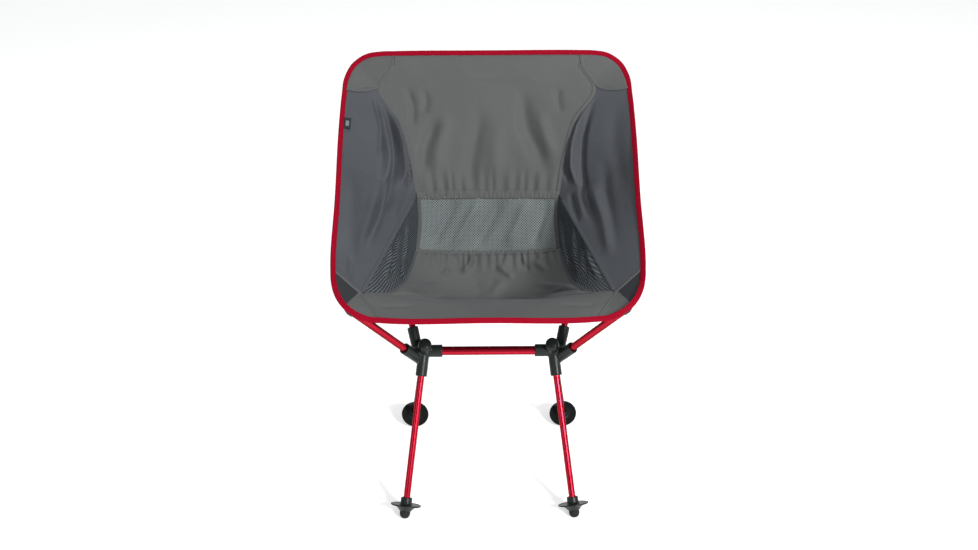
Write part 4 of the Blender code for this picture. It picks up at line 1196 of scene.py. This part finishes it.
for side, word in SIDES:
    wing_folds = RIGHT_WING_FOLDS if side > 0 else LEFT_WING_FOLDS
    gusset_folds = RIGHT_GUSSET_FOLDS if side > 0 else LEFT_GUSSET_FOLDS
    grid = flipped(loft_grid(LINES["wing_inner"], LINES["wing_outer"], 150, 64, WING_SAG), side)
    wing, wing_n = panel("sling_wing_" + word, "wing_panel_" + word, grid, CLOTH_SHADED_WING, wing_folds,
                         (13 + side, 0.4), 8.0)
    grid = flipped(loft_grid(LINES["gusset_inner"], LINES["gusset_outer"], 96, 36, GUSSET_SAG), side)
    panel("sling_gusset_mesh_" + word, "mesh_gusset_" + word, grid, SIDE_MESH, gusset_folds,
          (23 + side, 0.3), 6.0)
    sewn_band("seam_gusset_" + word, wing[68:-2], wing_n[68:-2], "left", -2.0, 5.0, CLOTH_SHADED_WING, 0.8)
    grid = flipped(loft_grid(LINES["top_inner"], LINES["top_outer"], 44, 30, 0.0), side)
    s_rim = np.linalg.norm(grid - grid[:, -1:], axis=2)
    over = np.clip((s_rim - 3.0) / 5.0, -0.4, 1.0)
    top, top_n = panel("sling_top_patch_" + word, "top_corner_patch_" + word, grid, CLOTH_GREY, (),
                       (33 + side, 0.25), 6.0, over)
    middle = np.array([place_on(top, 0.5, s) for s in np.linspace(0.0, 0.85, 40)])
    upward = np.array([place_on(top_n, 0.5, s) for s in np.linspace(0.0, 0.85, 40)])
    for aside in (-1.3, 1.3):
        way = np.gradient(middle, axis=0)
        across = np.cross(way / np.linalg.norm(way, axis=1)[:, None], upward)
        seams.append((middle + across * aside + upward * 0.45, upward))
    sewn_band("seam_top_patch_" + word, top[1:-1], top_n[1:-1], "left", -1.2, 3.4, CLOTH_GREY, 0.8, (2,))
    grid = flipped(loft_grid(LINES["front_inner"], LINES["front_outer"], 44, 30, 0.0), side)
    # The front patch's wing side carries painted shade; past the slanted line it is plain grey ripstop.
    grid = slanted(grid, FRONT_PATCH_SHADE_SHARE, FRONT_PATCH_FAR_SHADE_SHARE)
    front, front_n = panel("sling_front_patch_" + word, "front_corner_patch_" + word, grid, CLOTH_SHADED_CORNER, (),
                           (43 + side, 0.25), 6.0)
    split_painted_shade(bpy.data.objects["sling_front_patch_" + word], grid.shape, FRONT_PATCH_SHADE_SHARE, CLOTH_GREY)
    sewn_band("seam_front_patch_" + word, front[1:-1], front_n[1:-1], "left", -1.2, 3.4, CLOTH_GREY, 0.8, (2,))


# ---------------------------------------------------------------- binding


def whole_ring(step):
    half = LINES["rim"][::step]
    return np.concatenate([half, (half * (-1, 1, 1))[::-1][1:-1]])


def ring_frame(ring):
    """The way into the bucket and the way out of the tape, at each point of the rim."""
    tangent = np.roll(ring, -1, axis=0) - np.roll(ring, 1, axis=0)
    tangent /= np.linalg.norm(tangent, axis=1)[:, None]
    front = ease((-60.0 - ring[:, 1]) / 50.0)[:, None]
    inward = np.array(BINDING_AIM) * (1 - front) + np.array(LIP_AIM) * front - ring
    inward -= tangent * np.sum(inward * tangent, axis=1)[:, None]
    inward /= np.linalg.norm(inward, axis=1)[:, None]
    return inward, np.cross(tangent, inward)


def make_binding():
    """The tape folded over the rim: a round fold outside, two flat lips inside, slightly uneven."""
    ring = whole_ring(3)
    inward, normal = ring_frame(ring)
    along = runs(np.vstack([ring, ring[:1]]))[:-1]
    dice = np.random.default_rng(5)
    ripple = np.zeros(len(ring))
    for _ in range(9):
        waves = dice.integers(30, 260)
        ripple += np.sin(2 * np.pi * waves * along / along[-1] + dice.uniform(0, 6.28)) / 9
    half_w, half_t = BINDING_WIDTH / 2, BINDING_THICK / 2
    section = []
    for turn in np.linspace(-np.pi / 2, np.pi / 2, 9):
        section.append((-half_w + half_t - math.cos(turn) * half_t, math.sin(turn) * half_t))
    for a in np.linspace(-half_w + half_t + 1.0, half_w - 0.5, 5):
        section.append((a, half_t * (1.0 - 0.18 * ease((a + 1.0) / half_w))))
    section.append((half_w, half_t * 0.55))
    section.append((half_w, -half_t * 0.55))
    for a in np.linspace(half_w - 0.5, -half_w + half_t + 1.0, 5):
        section.append((a, -half_t * (1.0 - 0.18 * ease((a + 1.0) / half_w))))
    section = np.array(section)
    count, sides = len(ring), len(section)
    verts = np.zeros((count, sides, 3))
    for k, (a, b) in enumerate(section):
        inner = a > 0
        wave = ripple * (0.5 if inner else 0.15)
        verts[:, k] = ring + inward * (a + wave)[:, None] + normal * (b * (1 + 0.1 * ripple))[:, None]
    faces = ring_quads(count, sides, True)
    obj = link("sling_binding", to_frame(verts.reshape(-1, 3)), faces, TAPE_RED)
    mesh = obj.data
    layer = mesh.uv_layers.new(name="cloth")
    around = runs(np.vstack([np.column_stack([section, np.zeros(sides)]), [[*section[0], 0.0]]]))
    total = along[-1] + np.linalg.norm(ring[-1] - ring[0])
    for face in mesh.polygons:
        i, c = divmod(face.index, sides)
        for slot, (di, dc) in zip(face.loop_indices, ((0, 0), (0, 1), (1, 1), (1, 0))):
            u = along[i + di] if i + di < count else total
            layer.data[slot].uv = (u * MM, around[c + dc] * MM)
    face_outwards(mesh)
    sewn_on(obj, "binding_tape")
    lines = []
    for lip in (1, -1):
        place = ring + inward * (half_w - 1.5) + normal * lip * half_t * 0.84
        place = np.vstack([place, place[:1]])
        up = normal * lip
        lines.append((place, np.vstack([up, up[:1]])))
    stitches("binding_thread", lines, THREAD_RED, 3.4, 2.3, 0.2)


make_binding()
stitches("panel_thread", seams, THREAD_GREY)


def make_label():
    """A plain folded tab with a blank woven face, sewn under the left binding."""
    outer, inner = LINES["wing_outer"], LINES["wing_inner"]
    a = resampled(outer, 200)
    b = resampled(inner, 200)
    rows = []
    for i in np.linspace(*LABEL_SPAN, 13) * 199:
        start = point_at(a, i)
        way = point_at(b, i) - start
        way /= np.linalg.norm(way)
        rows.append([start + way * d for d in np.linspace(*LABEL_REACH, 9)])
    grid = np.array(rows) * (-1, 1, 1)
    normal = toward_bucket(grid)
    curl = np.linspace(0, 1, 9)[None, :] ** 2 * 1.2 + 1.3
    tab = cloth_mesh("sling_label_tab", grid + normal * curl[:, :, None], normal, TRIM_THICK, TAPE_BLACK)
    sewn_on(tab, "side_label_tab")
    declare(grid)
    face_grid = grid[3:10, 2:7]
    face = cloth_mesh("sling_label_face", face_grid + normal[3:10, 2:7] * (curl[:, 2:7, None] + 0.55),
                      normal[3:10, 2:7], 0.3, LABEL_GREY)
    sewn_on(face)


make_label()


# ---------------------------------------------------------------- corner pockets


def pocket_grid(axis, tube_r, first, last, shape, rows, columns):
    """The under layer of a corner pocket, hanging round the outside of a pole cap."""
    start, end = np.array(axis[0]), np.array(axis[1])
    way = (end - start) / np.linalg.norm(end - start)
    room, bulge, rise, drop = shape
    cap_r = tube_r + CAP_WALL
    centre = end - way * cap_r
    reach = cap_r + room
    ring = whole_ring(1)
    _, normal = ring_frame(ring)
    under = ring - normal * np.sign(normal[:, 2:3]) * 2.55
    top = resampled(between(under[:1201], first, last), columns)
    heading = math.atan2(way[1], way[0])
    turns = heading + np.radians(np.linspace(-100, 100, columns))
    grid = np.zeros((rows, columns, 3))
    for j, turn in enumerate(turns):
        out = np.array((math.cos(turn), math.sin(turn), 0.0))
        middle = centre + out * (reach + bulge) + (0.0, 0.0, rise)
        bottom = centre + out * reach - (0.0, 0.0, drop)
        t = np.linspace(0, 1, rows)[:, None]
        grid[:, j] = top[j] * (1 - t) ** 2 + middle * 2 * t * (1 - t) + bottom * t**2
    return grid


for side, word in SIDES:
    for place, axis, tube_r, first, last, shape in (
        ("top", BACK_AXIS, BACK_POLE_R, (247.9, 298.0, 622.0), (215.8, 328.0, 651.6), (2.2, 1.5, 9.0, 9.0)),
        ("front", SEAT_AXIS, SEAT_POLE_R, (204.0, -115.0, 372.5), (235.0, -88.0, 396.0), (1.0, 0.4, 6.0, -1.0)),
    ):
        grid = flipped(pocket_grid(axis, tube_r, first, last, shape, 26, 44), side)
        centre = grid.mean(axis=(0, 1))
        normal = toward_bucket(grid)
        waves = soft_waves(grid, 60 + side, 6, 14.0, 30.0, 0.35) * edge_room(grid, 5.0)
        shaped = grid + normal * waves[:, :, None]
        name = f"sling_{place}_pocket_{word}"
        obj = cloth_mesh(name, shaped, normal, TRIM_THICK, TAPE_BLACK, cloth_coordinates(grid))
        sewn_on(obj, f"{place}_corner_pocket_{word}")
        declare(grid)
